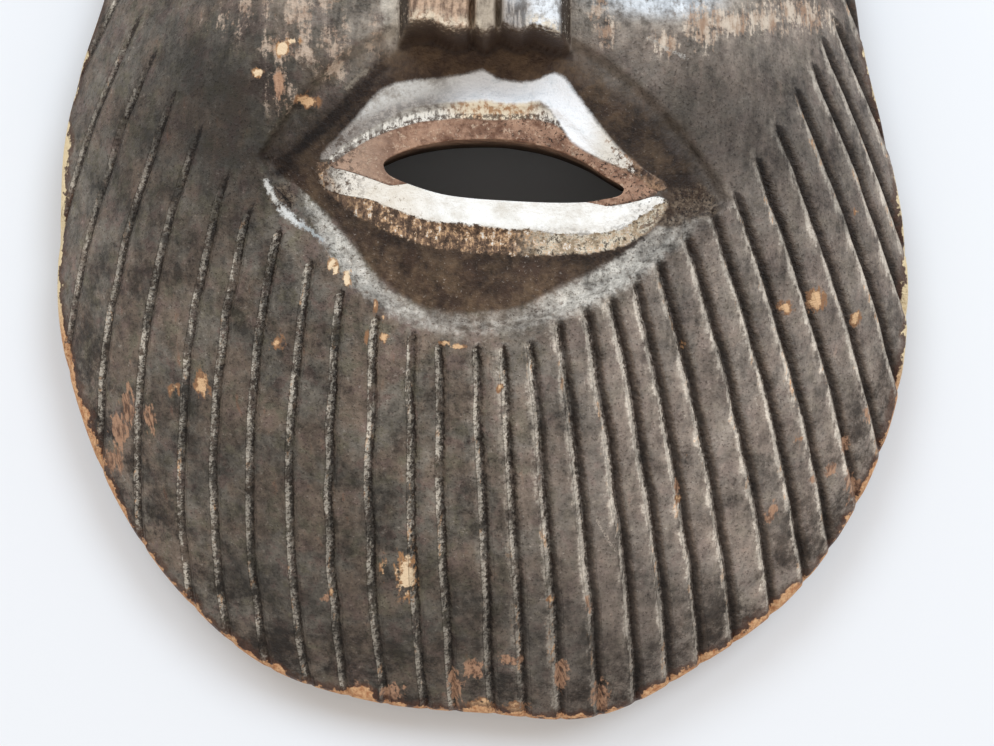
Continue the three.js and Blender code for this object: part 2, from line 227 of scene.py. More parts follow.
def noise(x, y, size, seed):
    """Smooth random hills, about `size` millimetres across, between -1 and 1."""
    lattice = np.random.default_rng(seed).uniform(-1, 1, (64, 64))
    u, v = x / size + 200, y / size + 200
    i, j = np.floor(u).astype(int), np.floor(v).astype(int)
    f, g = smooth(0, 1, u - i), smooth(0, 1, v - j)
    i, j = i % 64, j % 64
    p, q = (i + 1) % 64, (j + 1) % 64
    return mix(mix(lattice[i, j], lattice[p, j], f), mix(lattice[i, q], lattice[p, q], f), g)


def soft_max(a, b, width):
    """The higher of two surfaces, with a fillet where they meet."""
    gap = np.clip(0.5 + 0.5 * (a - b) / width, 0, 1)
    return mix(b, a, gap) + width * gap * (1 - gap)


def nose_edge(x):
    return np.interp(x, NOSE_EDGE_AT, NOSE_EDGE)


def nose_height(x, y):
    up = np.clip((y - NOSE["bottom"]) / (NOSE["top"] - NOSE["bottom"]), 0, 1)
    half = NOSE["bridge"] + (NOSE["wing"] - NOSE["bridge"]) * (1 - smooth(0.08, 0.62, up))
    squareness = mix(10, 3.2, smooth(0.05, 0.5, up))
    side = np.abs(x - NOSE["x"] * (1 - up))
    round_off = np.maximum(0, 1 - np.minimum(1, side / half) ** squareness) ** 0.55
    rise = mix(NOSE["tip"], NOSE["root"], up**0.8) * (1 - smooth(0.8, 1, up)) + NOSE["sunk"]
    lobes = NOSE["swell"] * bump(side - NOSE["lobe"], y - 7, 6, 10)
    front = head_form(x, np.maximum(y, 0)) - NOSE["sunk"] + (rise + lobes) * round_off
    beside = np.abs(x - SEPTUM["x"]) - (SEPTUM["width"] + SEPTUM["cut"]) / 2
    cut = smooth(0.5 * SEPTUM["cut"] + 0.2, 0.3, np.abs(beside)) * smooth(SEPTUM["top"] + 5, 3, y)
    front = front - SEPTUM["depth"] * cut
    edge = nose_edge(x)
    under = np.clip((y - edge + NOSE["under"]) / NOSE["under"], 0, 1) ** 0.75
    return np.where(y > NOSE["top"], NOWHERE, mix(head_form(x, y) - 2 * NOSE["sunk"], front, under))


def brow_height(x, y):
    along = np.clip((np.abs(x) - BROW["from"]) / (BROW["to"] - BROW["from"]), 0, 1)
    middle = BROW["y"] + BROW["arch"] * np.sin(math.pi * along**0.8)
    across = np.minimum(1, np.abs(y - middle) / BROW["width"])
    swell = (0.05 + 0.95 * np.sin(math.pi * along) ** 0.5) * (1 - across**2.2) ** 0.7
    return head_form(x, y) - BROW["sunk"] + swell * (BROW["rise"] + BROW["sunk"])


def lid_height(x, y):
    dx, dy = (np.abs(x) - SOCKET["x"]) / EYE["half"], np.abs(y - SOCKET["y"]) / EYE["tall"]
    out = np.sqrt(dx**2 + dy**1.55)
    floor = head_form(np.array(float(SOCKET["x"])), np.array(float(SOCKET["y"])))
    ground = mix(floor, head_form(x, y), np.minimum(1, out) ** 2)
    mound = 1.05 * np.sqrt(np.maximum(0, 1.02 - out**2)) - 0.06 - 8 * np.maximum(0, out - 1)
    return np.where(out < 1.1, ground + EYE["rise"] * mound, NOWHERE)


def front_height(x, y):
    height = face_height(x, y)
    height = soft_max(height, nose_height(x, y), FILLET["nose"])
    height = soft_max(height, brow_height(x, y), FILLET["brow"])
    height = soft_max(height, lid_height(x, y), FILLET["lid"])
    adze = sum(depth * noise(x, y, size, seed) for depth, size, seed in DENTS)
    return height + adze * smooth(0.99, 0.9, share(x, y))


# The beard's runs
# A gouge was pushed from the jaw line out to the rim, about thirty times. The runs lean out on
# the right-hand side, curve in towards the face at the top and wander a little.
MM = 0.001
JAW = {"x": 2, "y": -71.5, "curve": 0.0115, "lift": 3.4, "lift_from": (8, 22), "lift_to": (58, 48)}
LEVEL = -84.5
GROOVES_AT = np.array([
    -131, -119, -108.2, -96.2, -84.9, -72.5, -63.9, -54.6, -44.6, -35.1, -25.6, -16.2,
    -9.4, -0.4, 6.2, 13.3, 21, 28.7, 36, 43.1, 50.8, 60.6, 69.8, 78.1, 87.9, 97.9,
    108.3, 117.3, 124.5, 132, 140])
# How the runs lean and flare away from the middle, and wander: depth, size and seed
LEAN = {"middle": 0.11, "swing": 0.27, "at": 14, "over": 55}
FLARE = {"left": 0.0022, "left_over": 60, "right": -0.0008, "right_over": 40}
WANDER = [(0.3, 9, 3), (0.12, 4, 4)]
RUN_TOP, RUN_BOTTOM, RUN_STEP = 24, -172, 1.2
SHORTEST_RUN = 14
# Widths of the two walls of a cut and its depth, from the left-hand side to the right
WALL_PLACES = (-130, -20, 30, 70, 140)
LEFT_WALL = (1.8, 1.7, 1.4, 0.9, 0.7)
RIGHT_WALL = (1.0, 1.5, 2.6, 3.2, 3.2)
CUT_DEPTH = (1.2, 1.4, 1.8, 2.2, 2.2)


def groove_place(at, y):
    down = LEVEL - y
    lean = LEAN["middle"] + LEAN["swing"] * np.tanh((at - LEAN["at"]) / LEAN["over"])
    flare = np.where(at < 0, FLARE["left"] * np.tanh(-at / FLARE["left_over"]),
                     FLARE["right"] * np.tanh(at / FLARE["right_over"]))
    wander = sum(depth * noise(at, y, size, seed) for depth, size, seed in WANDER)
    return at + lean * down + flare * down**2 + wander


def jaw_line(x):
    lifted = JAW["lift"] * smooth(*JAW["lift_from"], x) * smooth(*JAW["lift_to"], x)
    return JAW["y"] + JAW["curve"] * (x - JAW["x"]) ** 2 + lifted


def on_beard(x, y):
    angle, radius = to_mouth(x, y)
    below_crest = radius > CREST(angle) - 1.5 - smooth(5, 20, x)
    return (share(x, y) < 1.02) & (y < jaw_line(x)) & below_crest


run_points, run_edges, run_values = [], [], []
for at in GROOVES_AT:
    y = np.arange(RUN_TOP, RUN_BOTTOM, -RUN_STEP)
    x = groove_place(at, y)
    y, x = (values[on_beard(x, y)] for values in (y, x))
    if len(y) < SHORTEST_RUN:
        continue
    first = len(run_points)
    run_points += [(px * MM, py * MM, 0) for px, py in zip(x, y)]
    run_edges += [(first + k, first + k + 1) for k in range(len(x) - 1)]
    # The gouge goes in slowly on the cheeks and steeply under the mouth
    entry_length = 2.5 + 9 * (x[0] < -50) + 4 * (x[0] > 55)
    strength = smooth(-1, entry_length, y[0] - y) * (1 + 0.18 * noise(x, y, 12, 5))
    for table in (LEFT_WALL, RIGHT_WALL, CUT_DEPTH):
        width = np.interp(at, WALL_PLACES, table) * MM
        run_values.append(width * (strength if table is CUT_DEPTH else 0.75 + 0.25 * strength))
runs_mesh = bpy.data.meshes.new("gouge_runs")
runs_mesh.from_pydata(run_points, run_edges, [])
for k, name in enumerate(("left_wall", "right_wall", "cut_depth")):
    runs_mesh.attributes.new(name, "FLOAT", "POINT").data.foreach_set(
        "value", np.concatenate(run_values[k::3]))
runs = bpy.data.objects.new("gouge_runs", runs_mesh)
bpy.context.scene.collection.objects.link(runs)

# The carved surface as a mesh
# The skin is one closed sheet: the front on lines that follow the gouge, the rounded rim, the flat
# back rim that the mask lies on, the hollow, and the walls of the mouth and eyes.
CARVED_LOW, CARVED_HIGH = (np.array(corner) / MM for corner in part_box("mask"))
RIM_START = 0.985
HOLLOW = {"share": 0.84, "depth": 36, "power": 6, "mouth": 1.12, "eyes": 1.15}
RIM_POINTS = 520


def column_place(at, y):
    """A mesh line: it follows the gouge up to the jaw line and runs straight up above it."""
    start = np.full_like(at, 30.0)
    for _ in range(30):
        start = mix(start, jaw_line(groove_place(at, LEVEL + start)) - LEVEL, 0.5)
    above_jaw, highest, softness = 10, 112, 4
    start = np.minimum(start + above_jaw, highest)
    up = -softness * np.logaddexp(-(y - LEVEL) / softness, -start / softness)
    return groove_place(at, LEVEL + up)


def grid(x, y):
    """A sheet of points, with its triangles anticlockwise as seen from the front."""
    index = np.arange(x.size).reshape(x.shape)
    a, b = index[:-1, :-1].ravel(), index[:-1, 1:].ravel()
    c, d = index[1:, 1:].ravel(), index[1:, :-1].ravel()
    return (np.stack([x.ravel(), y.ravel()], 1),
            np.concatenate([np.stack([a, b, c], 1), np.stack([a, c, d], 1)]))


def zip_rows(first, second, where):
    """Triangles between two rows of points, each given in order along its row."""
    made, i, j = [], 0, 0
    while i < len(first) - 1 or j < len(second) - 1:
        on_first = j == len(second) - 1 or (
            i < len(first) - 1
            and np.hypot(*(where[first[i + 1]] - where[second[j]])[:2])
            <= np.hypot(*(where[second[j + 1]] - where[first[i]])[:2]))
        if on_first:
            made.append((first[i], first[i + 1], second[j]))
            i += 1
        else:
            made.append((first[i], second[j + 1], second[j]))
            j += 1
    return made


def clip(flat, triangles, field):
    """Cuts a flat mesh along the line where the field is 0, and keeps the side above 0."""
    inside = field(flat[:, 0], flat[:, 1])[triangles] > 0
    count = inside.sum(1)
    cuts, extra = {}, []
    for triangle, within in zip(triangles[(count == 1) | (count == 2)].tolist(),
                                inside[(count == 1) | (count == 2)]):
        alone = int(np.argmax(within)) if within.sum() == 1 else int(np.argmin(within))
        a, b, c = (triangle[(alone + k) % 3] for k in range(3))
        if within.sum() == 1:
            ab, ac = (cuts.setdefault((a, other), len(flat) + len(cuts)) for other in (b, c))
            extra.append((a, ab, ac))
        else:
            ab, ac = (cuts.setdefault((other, a), len(flat) + len(cuts)) for other in (b, c))
            extra += [(ab, b, c), (ab, c, ac)]
    pairs = np.array(list(cuts))
    near, far = flat[pairs[:, 0]], flat[pairs[:, 1]]
    for _ in range(24):
        middle = (near + far) / 2
        within = (field(middle[:, 0], middle[:, 1]) > 0)[:, None]
        near, far = np.where(within, middle, near), np.where(within, far, middle)
    flat = np.concatenate([flat, near])
    triangles = np.concatenate([triangles[count == 3], np.array(extra)])
    used, renumbered = np.unique(triangles, return_inverse=True)
    return flat[used], renumbered.reshape(triangles.shape)


def border_loops(triangles):
    """The open edges of a mesh, as loops of point numbers."""
    edges = np.concatenate([triangles[:, [0, 1]], triangles[:, [1, 2]], triangles[:, [2, 0]]])
    _, first, counts = np.unique(
        np.sort(edges, 1), axis=0, return_index=True, return_counts=True)
    following = dict(edges[first[counts == 1]].tolist())
    loops = []
    while following:
        start, point = following.popitem()
        loop = [start]
        while point != start:
            loop.append(point)
            point = following.pop(point)
        loops.append(loop)
    return loops


def hole_field(size):
    def field(x, y):
        angle, radius = to_mouth(x, y)
        return radius - size * HOLE(angle)
    return field


def eye_field(size):
    def field(x, y):
        across = (np.abs(x) - SOCKET["x"]) / (size * EYE["slit_half"])
        up = (y - SOCKET["y"]) / (size * EYE["slit_tall"])
        return np.hypot(across, up) - 1
    return field


def hollow_height(inward):
    return HOLLOW["depth"] * (1 - inward ** HOLLOW["power"])


def spaced(*stretches):
    """Values from stretches of (start, end, spacing), without doubles."""
    runs = [np.linspace(a, b, max(2, round((b - a) / step) + 1))[:-1] for a, b, step in stretches]
    return np.concatenate(runs + [[stretches[-1][1]]])


class Skin:
    """Points and triangles of one closed sheet, put together from stretches."""

    def __init__(self):
        self.points = np.zeros((0, 3))
        self.faces = []

    def add_points(self, points):
        first = len(self.points)
        self.points = np.concatenate([self.points, points])
        return list(range(first, len(self.points)))

    def add_sheet(self, flat, triangles, height):
        numbers = self.add_points(np.column_stack([flat, height]))
        self.faces += (triangles + numbers[0]).tolist()
        return [[i + numbers[0] for i in loop] for loop in border_loops(triangles)]

    def extend(self, loop, points):
        """Adds a ring beyond a loop, point for point."""
        ring = self.add_points(points)
        for i in range(len(loop)):
            j = (i + 1) % len(loop)
            self.faces += [(loop[j], loop[i], ring[i]), (loop[j], ring[i], ring[j])]
        return ring

    def close_to(self, loop, other):
        """Joins a loop to another that runs the other way round, with its own count of points."""
        other = other[::-1]
        start = int(np.argmin(np.hypot(*(self.points[other] - self.points[loop[0]])[:, :2].T)))
        other = other[start:] + other[:start]
        made = zip_rows(loop + loop[:1], other + other[:1], self.points)
        self.faces += [face[::-1] for face in made]

    def nearest(self, loops, x, y):
        return min(loops, key=lambda loop: np.hypot(*(self.points[loop, :2].mean(0) - (x, y))))


def at_share(flat, level):
    return flat * (level / share(flat[:, 0], flat[:, 1]))[:, None]


lines = [spaced((-168, -135, 1.7)), spaced((145, 162, 1.7))]
walls = [(np.interp(at, WALL_PLACES, LEFT_WALL), np.interp(at, WALL_PLACES, RIGHT_WALL))
         for at in GROOVES_AT]
for at, (left, right) in zip(GROOVES_AT, walls):
    lines.append(at + left * np.array([-1, -0.66, -0.33, 0]) + [-0.12, 0, 0, 0])
    lines.append(at + right * np.array([0.2, 0.45, 0.7, 1]))
    lines.append(at + [-left - 0.5, right + 0.5])
for k in range(len(GROOVES_AT) - 1):
    start, end = GROOVES_AT[k] + walls[k][1] + 0.5, GROOVES_AT[k + 1] - walls[k + 1][0] - 0.5
    spacing = 1.0 if abs(start + end) < 42 else 1.7
    lines.append(np.linspace(start, end, max(2, round((end - start) / spacing)) + 1)[1:-1])
lower_at, lower_y = np.meshgrid(np.sort(np.concatenate(lines)), spaced(
    (-170, -74, 1.8), (-74, -66, 1.2), (-66, -7, 0.65), (-7, 1, 0.45), (1, 14, 0.9), (14, 30, 1.6)))
flat, triangles = grid(column_place(lower_at, lower_y), lower_y)
upper_x, upper_y = np.meshgrid(np.arange(-110, 111, 1.55), np.arange(31.6, 170, 1.55))
upper_flat, upper_triangles = grid(upper_x, upper_y)
top_row = list(range(lower_y.size - lower_y.shape[1], lower_y.size))
next_row = list(range(lower_y.size, lower_y.size + upper_x.shape[1]))
flat = np.concatenate([flat, upper_flat])
triangles = np.concatenate([triangles, upper_triangles + lower_y.size,
                            zip_rows(top_row, next_row, flat)])
for field in (lambda x, y: RIM_START - share(x, y), hole_field(1), eye_field(1)):
    flat, triangles = clip(flat, triangles, field)

skin = Skin()
front_loops = skin.add_sheet(flat, triangles, front_height(flat[:, 0], flat[:, 1]))

# The hollow's floor, as coarse as it can be, with the shallow scoops that a gouge leaves
BACK = {"share": 0.73, "step": 3.2, "scoop_wide": 13, "scoop_deep": 1.6, "scoops_to": 0.66}
back_flat, back_triangles = grid(*np.meshgrid(np.arange(-104, 105, BACK["step"]),
                                              np.arange(-142, 145, BACK["step"])))
for field in (lambda x, y: BACK["share"] - share(x, y), hole_field(HOLLOW["mouth"]),
              eye_field(HOLLOW["eyes"])):
    back_flat, back_triangles = clip(back_flat, back_triangles, field)
back_share = share(back_flat[:, 0], back_flat[:, 1])
scoops = BACK["scoop_deep"] * np.abs(noise(*back_flat.T, BACK["scoop_wide"], 6))
scoops = scoops * smooth(BACK["share"], BACK["scoops_to"], back_share)
back_loops = skin.add_sheet(back_flat, back_triangles[:, ::-1],
                            hollow_height(back_share / HOLLOW["share"]) - scoops)

# The rounded edge of the rim keeps the front's points; the rest of the way round needs fewer
rim_loop = max(front_loops, key=len)
front_loops.remove(rim_loop)
back_rim = max(back_loops, key=len)
back_loops.remove(back_rim)
rim_flat, rim_top = skin.points[rim_loop, :2], skin.points[rim_loop, 2]
ring = rim_loop
for turn in (0.3, 0.6, 1):
    level = mix(RIM_START, 1, math.sin(turn * math.pi / 2))
    drop = mix(rim_top, EDGE_HEIGHT - EDGE_ROUND, 1 - math.cos(turn * math.pi / 2))
    ring = skin.extend(ring, np.column_stack([at_share(rim_flat, level), drop]))
around = np.linspace(0, 2 * math.pi, RIM_POINTS, endpoint=False)
circle = np.column_stack([np.cos(around), np.sin(around)])
levels = [(1, 8), (1, 1.2), (0.993, 0.2), (0.988, 0), (0.86, 0), (0.845, 0.1)]
levels += [(HOLLOW["share"] * inward, hollow_height(inward))
           for inward in (0.995, 0.98, 0.955, 0.92, 0.89)]
coarse = None
for level, height in levels:
    place = np.column_stack([at_share(circle * 100, level), np.full(len(circle), float(height))])
    if coarse is None:
        coarse = skin.add_points(place)
        skin.close_to(ring, coarse[::-1])
    else:
        coarse = skin.extend(coarse, place)
skin.close_to(coarse, back_rim)

# The walls of the mouth and of the two eye slits
openings = [(MOUTH_X, MOUTH_Y, HOLLOW["mouth"] - 1), (SOCKET["x"], SOCKET["y"], HOLLOW["eyes"] - 1),
            (-SOCKET["x"], SOCKET["y"], HOLLOW["eyes"] - 1)]
for x, y, growth in openings:
    ring = skin.nearest(front_loops, x, y)
    start = skin.points[ring]
    for way in (0.04, 0.2, 0.45, 0.7, 0.92):
        opened = (x, y) + (start[:, :2] - (x, y)) * (1 + growth * way)
        back = hollow_height(share(opened[:, 0], opened[:, 1]) / HOLLOW["share"])
        ring = skin.extend(ring, np.column_stack([opened, mix(start[:, 2], back, way)]))
    skin.close_to(ring, skin.nearest(back_loops, x, y))

points = np.clip(skin.points, CARVED_LOW, CARVED_HIGH)
block_mesh = bpy.data.meshes.new("block")
block_mesh.from_pydata((points * MM).tolist(), [], [tuple(face) for face in skin.faces])
block_mesh.shade_smooth()

# What each place of the surface is
# The stain, the white lips and the bare wood follow the carving, so the mesh carries how far each
# of its points is inside them, in millimetres or as a share.
WHITE_LINE = traced([
    (41, 0), (30, 5), (0, 9), (-30, 5), (-41.8, -1), (-41.1, -4.5), (-38.1, -6.7), (-33.3, -7.5),
    (-28.5, -7.9), (-24.9, -9), (-22, -9.7), (-17.4, -11.1), (-12.4, -11.8), (-4.4, -11.8),
    (1.9, -11.9), (5.7, -12.1), (8.8, -11.5), (11.9, -11.6), (16.8, -11.9), (20.1, -11.4),
    (24.8, -10.9), (29.4, -9.7), (33.9, -7), (36.3, -5.1), (39.2, -2.8)])
# Degrees from the right-hand side and, there, how wide the bare edge of the rim is
BARE = [
    (-195, 0.2), (-173, 0.5), (-169, 2.1), (-165, 2.0), (-158, 2.2), (-153, 1.3), (-149, 2.3),
    (-143.5, 2.6),
    (-139, 2.7), (-134, 2.1), (-128, 1.3), (-122, 1.0), (-118, 1.8), (-116, 0.9), (-113.8, 1.6),
    (-112, 2.6), (-110.6, 0.9), (-109.2, 3.2), (-107.5, 1.0), (-104, 1.1), (-102.6, 1.0),
    (-101.8, 4.0), (-100.3, 4.0), (-99.3, 1.2), (-98, 2.2), (-96, 0.8), (-93.8, 1.4), (-92, 0.8),
    (-90, 2.4), (-88.3, 0.9), (-87, 3.0), (-85.5, 1.6), (-84, 1.2), (-81, 1.2), (-79, 1.8),
    (-77, 1.0), (-75, 2.0), (-72, 2.0), (-68, 2.3), (-63, 2.3), (-59, 2.8), (-57, 1.4), (-54, 0.9),
    (-50, 1.0), (-48, 2.0), (-45, 1.4), (-42, 1.8), (-38, 1.5), (-33, 1.3), (-30, 1.8), (-26, 2.2),
    (-23, 1.4), (-18, 0.8), (0, 0.7), (12, -0.6), (90, -1.2), (158, -0.9), (165, 0.2)]
# Degrees about the mouth and, there, where the basin's dark stain and painted shade end, out from the
# foot of its slope
BASIN_EDGE = [
    (-180, 2.4), (-176, 2.4), (-172, 0.6), (-169, -0.5), (-163, -1), (-150, -0.8), (-141, 0.2),
    (-133, 1.3), (-126, 1.6), (-113, 1.6), (-103, 0.9), (-91, -0.2), (-80, 0), (-73, -0.4),
    (-64, -1.1), (-55, -1.7), (-44, -1.6), (-28, -1.6), (-22, -1.7), (-15, -2.3), (-11, -3.2),
    (-6, -3.4), (-2, -2), (2, 3.4), (8, 3.4), (16, 2.8), (27, 2.2), (38, 1.3), (50, 0.2), (61, -0.2),
    (140, 0), (150, 0), (160, -0.3), (168, -0.8), (174, -0.4), (178, 1.5), (180, 2.4)]
# How pale the raised edge of the beard is, from dust and a painted highlight on its up-facing slope,
# and how far that paleness stays inside the crest
RIDGE_LIGHT = [
    (-180, 0.3), (-172, 0.7), (-166, 1.0), (-152, 0.95), (-145, 0.75), (-125, 0.42), (-110, 0.24),
    (-92, 0.12), (-70, 0.24), (-50, 0.62), (-30, 0.8), (-18, 0.6), (-8, 0.3), (0, 0), (180, 0)]
RIDGE_EDGE = [
    (-180, 7), (-172, 6), (-166, 4.5), (-160, 3.6), (-155, 2.6), (-149, 1.6), (-139, 0.6), (-125, -0.2),
    (-100, -1), (-60, -1.6), (-30, -1.6), (-15, 0), (0, 3), (180, 7)]
# Degrees about the mouth and, there, how far out from the foot the crease's painted shade runs
CREASE = [(134, -0.1), (143, -2.6), (153, -4.8), (163, -5.9), (170, -5.9), (177, -5.1), (182, -2),
          (184, 2.8)]
# Knocks that show bare wood: place, half width and half height
CREAM_SPOTS = [
    (-18.6, -127.4, 1.9, 4.7), (-52.2, -7.7, 0.9, 0.9), (-31.5, -55.5, 0.8, 1.7),
    (-46.2, -2.4, 1.6, 1.4), (-43.6, -1.0, 1.2, 1.0), (48, -71.1, 0.5, 0.5),
    (-35.4, -51.8, 0.6, 1.3), (-34.2, -53.3, 0.5, 1.4)]
TAN_SPOTS = [
    (-67.8, -80.7, 1.6, 2.6), (-75.4, -82, 1.3, 0.9), (-48.2, -70.7, 1.2, 1.4),
    (-24.1, -126.2, 0.7, 2.5), (-37.3, -131.6, 0.6, 1), (81.7, -59.9, 1.8, 2.2),
    (73.6, -62.1, 1.8, 1.2), (93.1, -64.1, 1, 1.5), (93.4, -37.2, 0.7, 1),
    (77.9, -94.9, 0.9, 1.1), (47.7, -108.7, 0.7, 1), (49.3, -98.1, 0.6, 0.8),
    (-40.6, -14.4, 1.9, 1.3), (-27.3, -69.3, 0.6, 1.1), (-22.9, -69.6, 0.7, 0.9),
    (-0.4, -163.4, 3, 1.5), (8.4, -164, 2.6, 1.5), (-31.8, -161, 2.4, 1.4),
    (16.7, -133.3, 0.8, 0.8), (-5.7, -71.7, 1.8, 0.7), (-8.6, -70.9, 1.2, 0.6), (4.4, -80.6, 0.6, 0.9),
    (-24.8, -62.1, 0.5, 1.4), (-22.8, -65.1, 0.5, 1.4)]
RED_SPOTS = [
    (82.7, -104.6, 0.9, 1.1), (71.8, -113.2, 1, 2.5), (94.6, -107.8, 2, 2.6),
    (88.2, -102.3, 1.2, 1.6), (93.8, -105.1, 1.2, 2), (91.6, -96, 0.9, 1.6),
    (97.3, -88.5, 1, 1.8), (78.7, -94.4, 0.8, 1.2), (47.3, -105.6, 0.7, 1.2),
    (26.2, -135.2, 0.7, 1.6), (-1.9, -151.3, 1.8, 0.8), (6.9, -150.1, 2.2, 0.8),
    (-7.6, -155.1, 1.2, 2), (19.9, -154.5, 1.4, 3), (29.8, -159.4, 1.6, 2),
    (-31.6, -159.9, 2.2, 2), (-6.7, -159, 1.2, 3.6), (-2.2, -153, 2, 1.6), (-23, -160, 2.4, 2),
    (30, -160.4, 1.6, 3), (-39.3, -133.3, 0.9, 0.8), (-88.7, -86, 1.5, 4.5), (-92.4, -92.2, 2, 3),
    (-82.8, -89.5, 1.4, 2.6), (-94, -100, 1.6, 4), (-47.1, -11, 1.2, 2.6)]
BROKEN_SPOTS = [(49.8, -37.5, 6.5, 4.5), (44, -41.5, 4, 2), (-46.4, -36.6, 3, 3.6)]
# Broad places that are worn down to paler stain or rubbed through, with a painted blue-grey sheen on
# the cheeks beside the nose: place, half sizes, how much
RUBBED_AND_SHEEN = [
    (-20.8, 6, 3, 12, 1.4), (-26, 4, 9, 12, 0.6), (-40, 6, 12, 8, 0.4), (22.5, 8, 3, 12, 0.4),
    (40, 11, 22, 9, 1.5), (55, 3, 20, 9, 0.35), (-36, -20, 3, 4, 0.35), (0.4, 46, 3.5, 26, 0.8),
    (40, 82, 26, 3, 0.5), (-40, 82, 26, 3, 0.5)]
ORANGE = [
    (51.4, 3, 3.6, 5, 1), (59, 5, 6.5, 3, 1), (67, 7, 7, 3.2, 0.9), (78, 11, 10, 4, 0.85),
    (42.6, -1.3, 5, 3.2, 0.6),
    (27, 7, 2.2, 5, 0.8), (29, 1, 2.2, 4, 0.8), (-41, 5.5, 6, 8, 0.62), (-53, 7, 12, 7, 0.55),
    (-34, -3, 5, 8, 0.58), (-45, -2, 6, 5, 0.7), (-47, -11, 4, 6, 0.6), (-36, 8, 4, 5, 0.6),
    (-24, 0, 3, 6, 0.45)]
# Broad differences in how dark the stain is: place, half sizes, how much lighter
TONE = [
    (-60, -22, 30, 24, -0.55), (-84, -10, 30, 40, -0.1), (-64, -2, 26, 22, -0.22),
    (-30, -70, 24, 20, 0.05), (-52, -96, 40, 40, -0.28), (0, -152, 80, 28, -0.46),
    (78, -66, 30, 50, 0.12),
    (58, -105, 40, 40, 0.4), (66, -20, 24, 22, -0.35), (46, -20, 18, 14, -0.4),
    (0, -84, 40, 14, 0.08), (35, 4, 30, 10, 0.15), (1, -9, 20, 9, 0.5)]
x, y, z = points.T
angle, radius = to_mouth(x, y)
degrees = np.degrees(angle)
across = radius * np.cos(angle)
above = smooth(-0.04, 0.04, angle)
front = smooth(9, 12, z)


def spots(places, edge=1.25):
    """How far inside a list of round patches each point is, strongest first."""
    total = np.zeros_like(x)
    for px, py, wide, tall, *amount in places:
        patch = bump(x - px, y - py, edge * wide, edge * tall)
        total = np.maximum(total, (amount or [1])[0] * patch)
    return total * front


def by_angle(rows, turned):
    at, values = np.array(rows, float).T
    return np.interp(turned, at, values)


# The lips: limewash above and below, the worn facet above and the worn wood below
lip_top = np.where(angle > 0, lip_crown(angle), LIP_INNER(angle))
upper_span = np.minimum(LIP_OUTER(angle) - radius, radius - lip_top + 3.6 * smooth(8, 18, across))
facet_span = np.minimum(lip_top - radius, radius - LIP_INNER(angle))
corners = np.maximum(smooth(-18, -25, across), smooth(19, 29, across))
white_top = mix(HOLE(angle) - 1.2, LIP_INNER(angle), corners)
lower_span = np.minimum(WHITE_LINE(angle) - radius, 3 * (radius - white_top))
worn_span = np.minimum(LIP_OUTER(angle) + 0.3 - radius, radius - WHITE_LINE(angle) + 4)

# The back, and the bare edge of the rim
behind = np.maximum(0.5, hollow_height(np.minimum(1, share(x, y) / HOLLOW["share"])))
rim_inset = (1 - np.minimum(1, share(x, y))) * rim_radius(np.arctan2(y, x))
turn = (np.degrees(np.arctan2(y, x)) + 195) % 360 - 195
rim_span = by_angle(BARE, turn) - 0.03 - rim_inset - 0.3 * np.maximum(0, 12.5 - z)

# The basin's stain and painted shade, the dusty edge of the beard with its painted highlight, painted
# shade in the creases, along the lips' outer edges and at the mouth corners, and dirt with painted
# shade round the lips
basin_dark_edge = FOOT(angle) + by_angle(BASIN_EDGE, degrees)
ridge_end = CREST(angle) - by_angle(RIDGE_EDGE, degrees)
ridge_span = np.minimum(radius - basin_dark_edge, 0.5 * (ridge_end - radius))
ridge_span = mix(ridge_span, -9, smooth(-0.06, 0.02, angle) * smooth(3.1, 3.0, angle))
crease = 1.5 * bump(radius - FOOT(angle) - by_angle(CREASE, degrees % 360), 0, 2.2, 1)
crease = crease * smooth(2.3, 2.5, angle % (2 * math.pi)) * smooth(3.25, 3.2, angle % (2 * math.pi))
lip_edge = bump(radius - LIP_OUTER(angle) - 0.8, 0, 2.0, 1)
lip_edge = lip_edge * (0.4 + 0.6 * smooth(1.9, 2.2, angle) * smooth(3.1, 2.9, angle))
wedge = smooth(-1.1, -0.7, angle) * smooth(-0.1, -0.3, angle) * bump(
    radius - LIP_OUTER(angle) - 1.5, 0, 3, 1)
corner = bump(across - 46, radius * np.sin(angle) + 1, 7, 7) + 0.8 * bump(
    across + 49, radius * np.sin(angle), 7, 5)
basin_dark_span = basin_dark_edge - radius - 5 * smooth(42, 53, across)
basin_dark_span = mix(basin_dark_span, 0.17 * basin_dark_span - 0.1, smooth(-0.2, 0.1, angle))
grime = 0.7 * bump(radius - LIP_INNER(angle), 0, 1.4, 1) * smooth(22, 30, np.abs(across))
grime = np.maximum(grime, np.maximum(smooth(30, 38, across), smooth(-26, -37, across)))
grime = np.maximum(grime, 0.5 * smooth(8, 14, across) * bump(radius - WHITE_LINE(angle), 0, 2.5, 1))

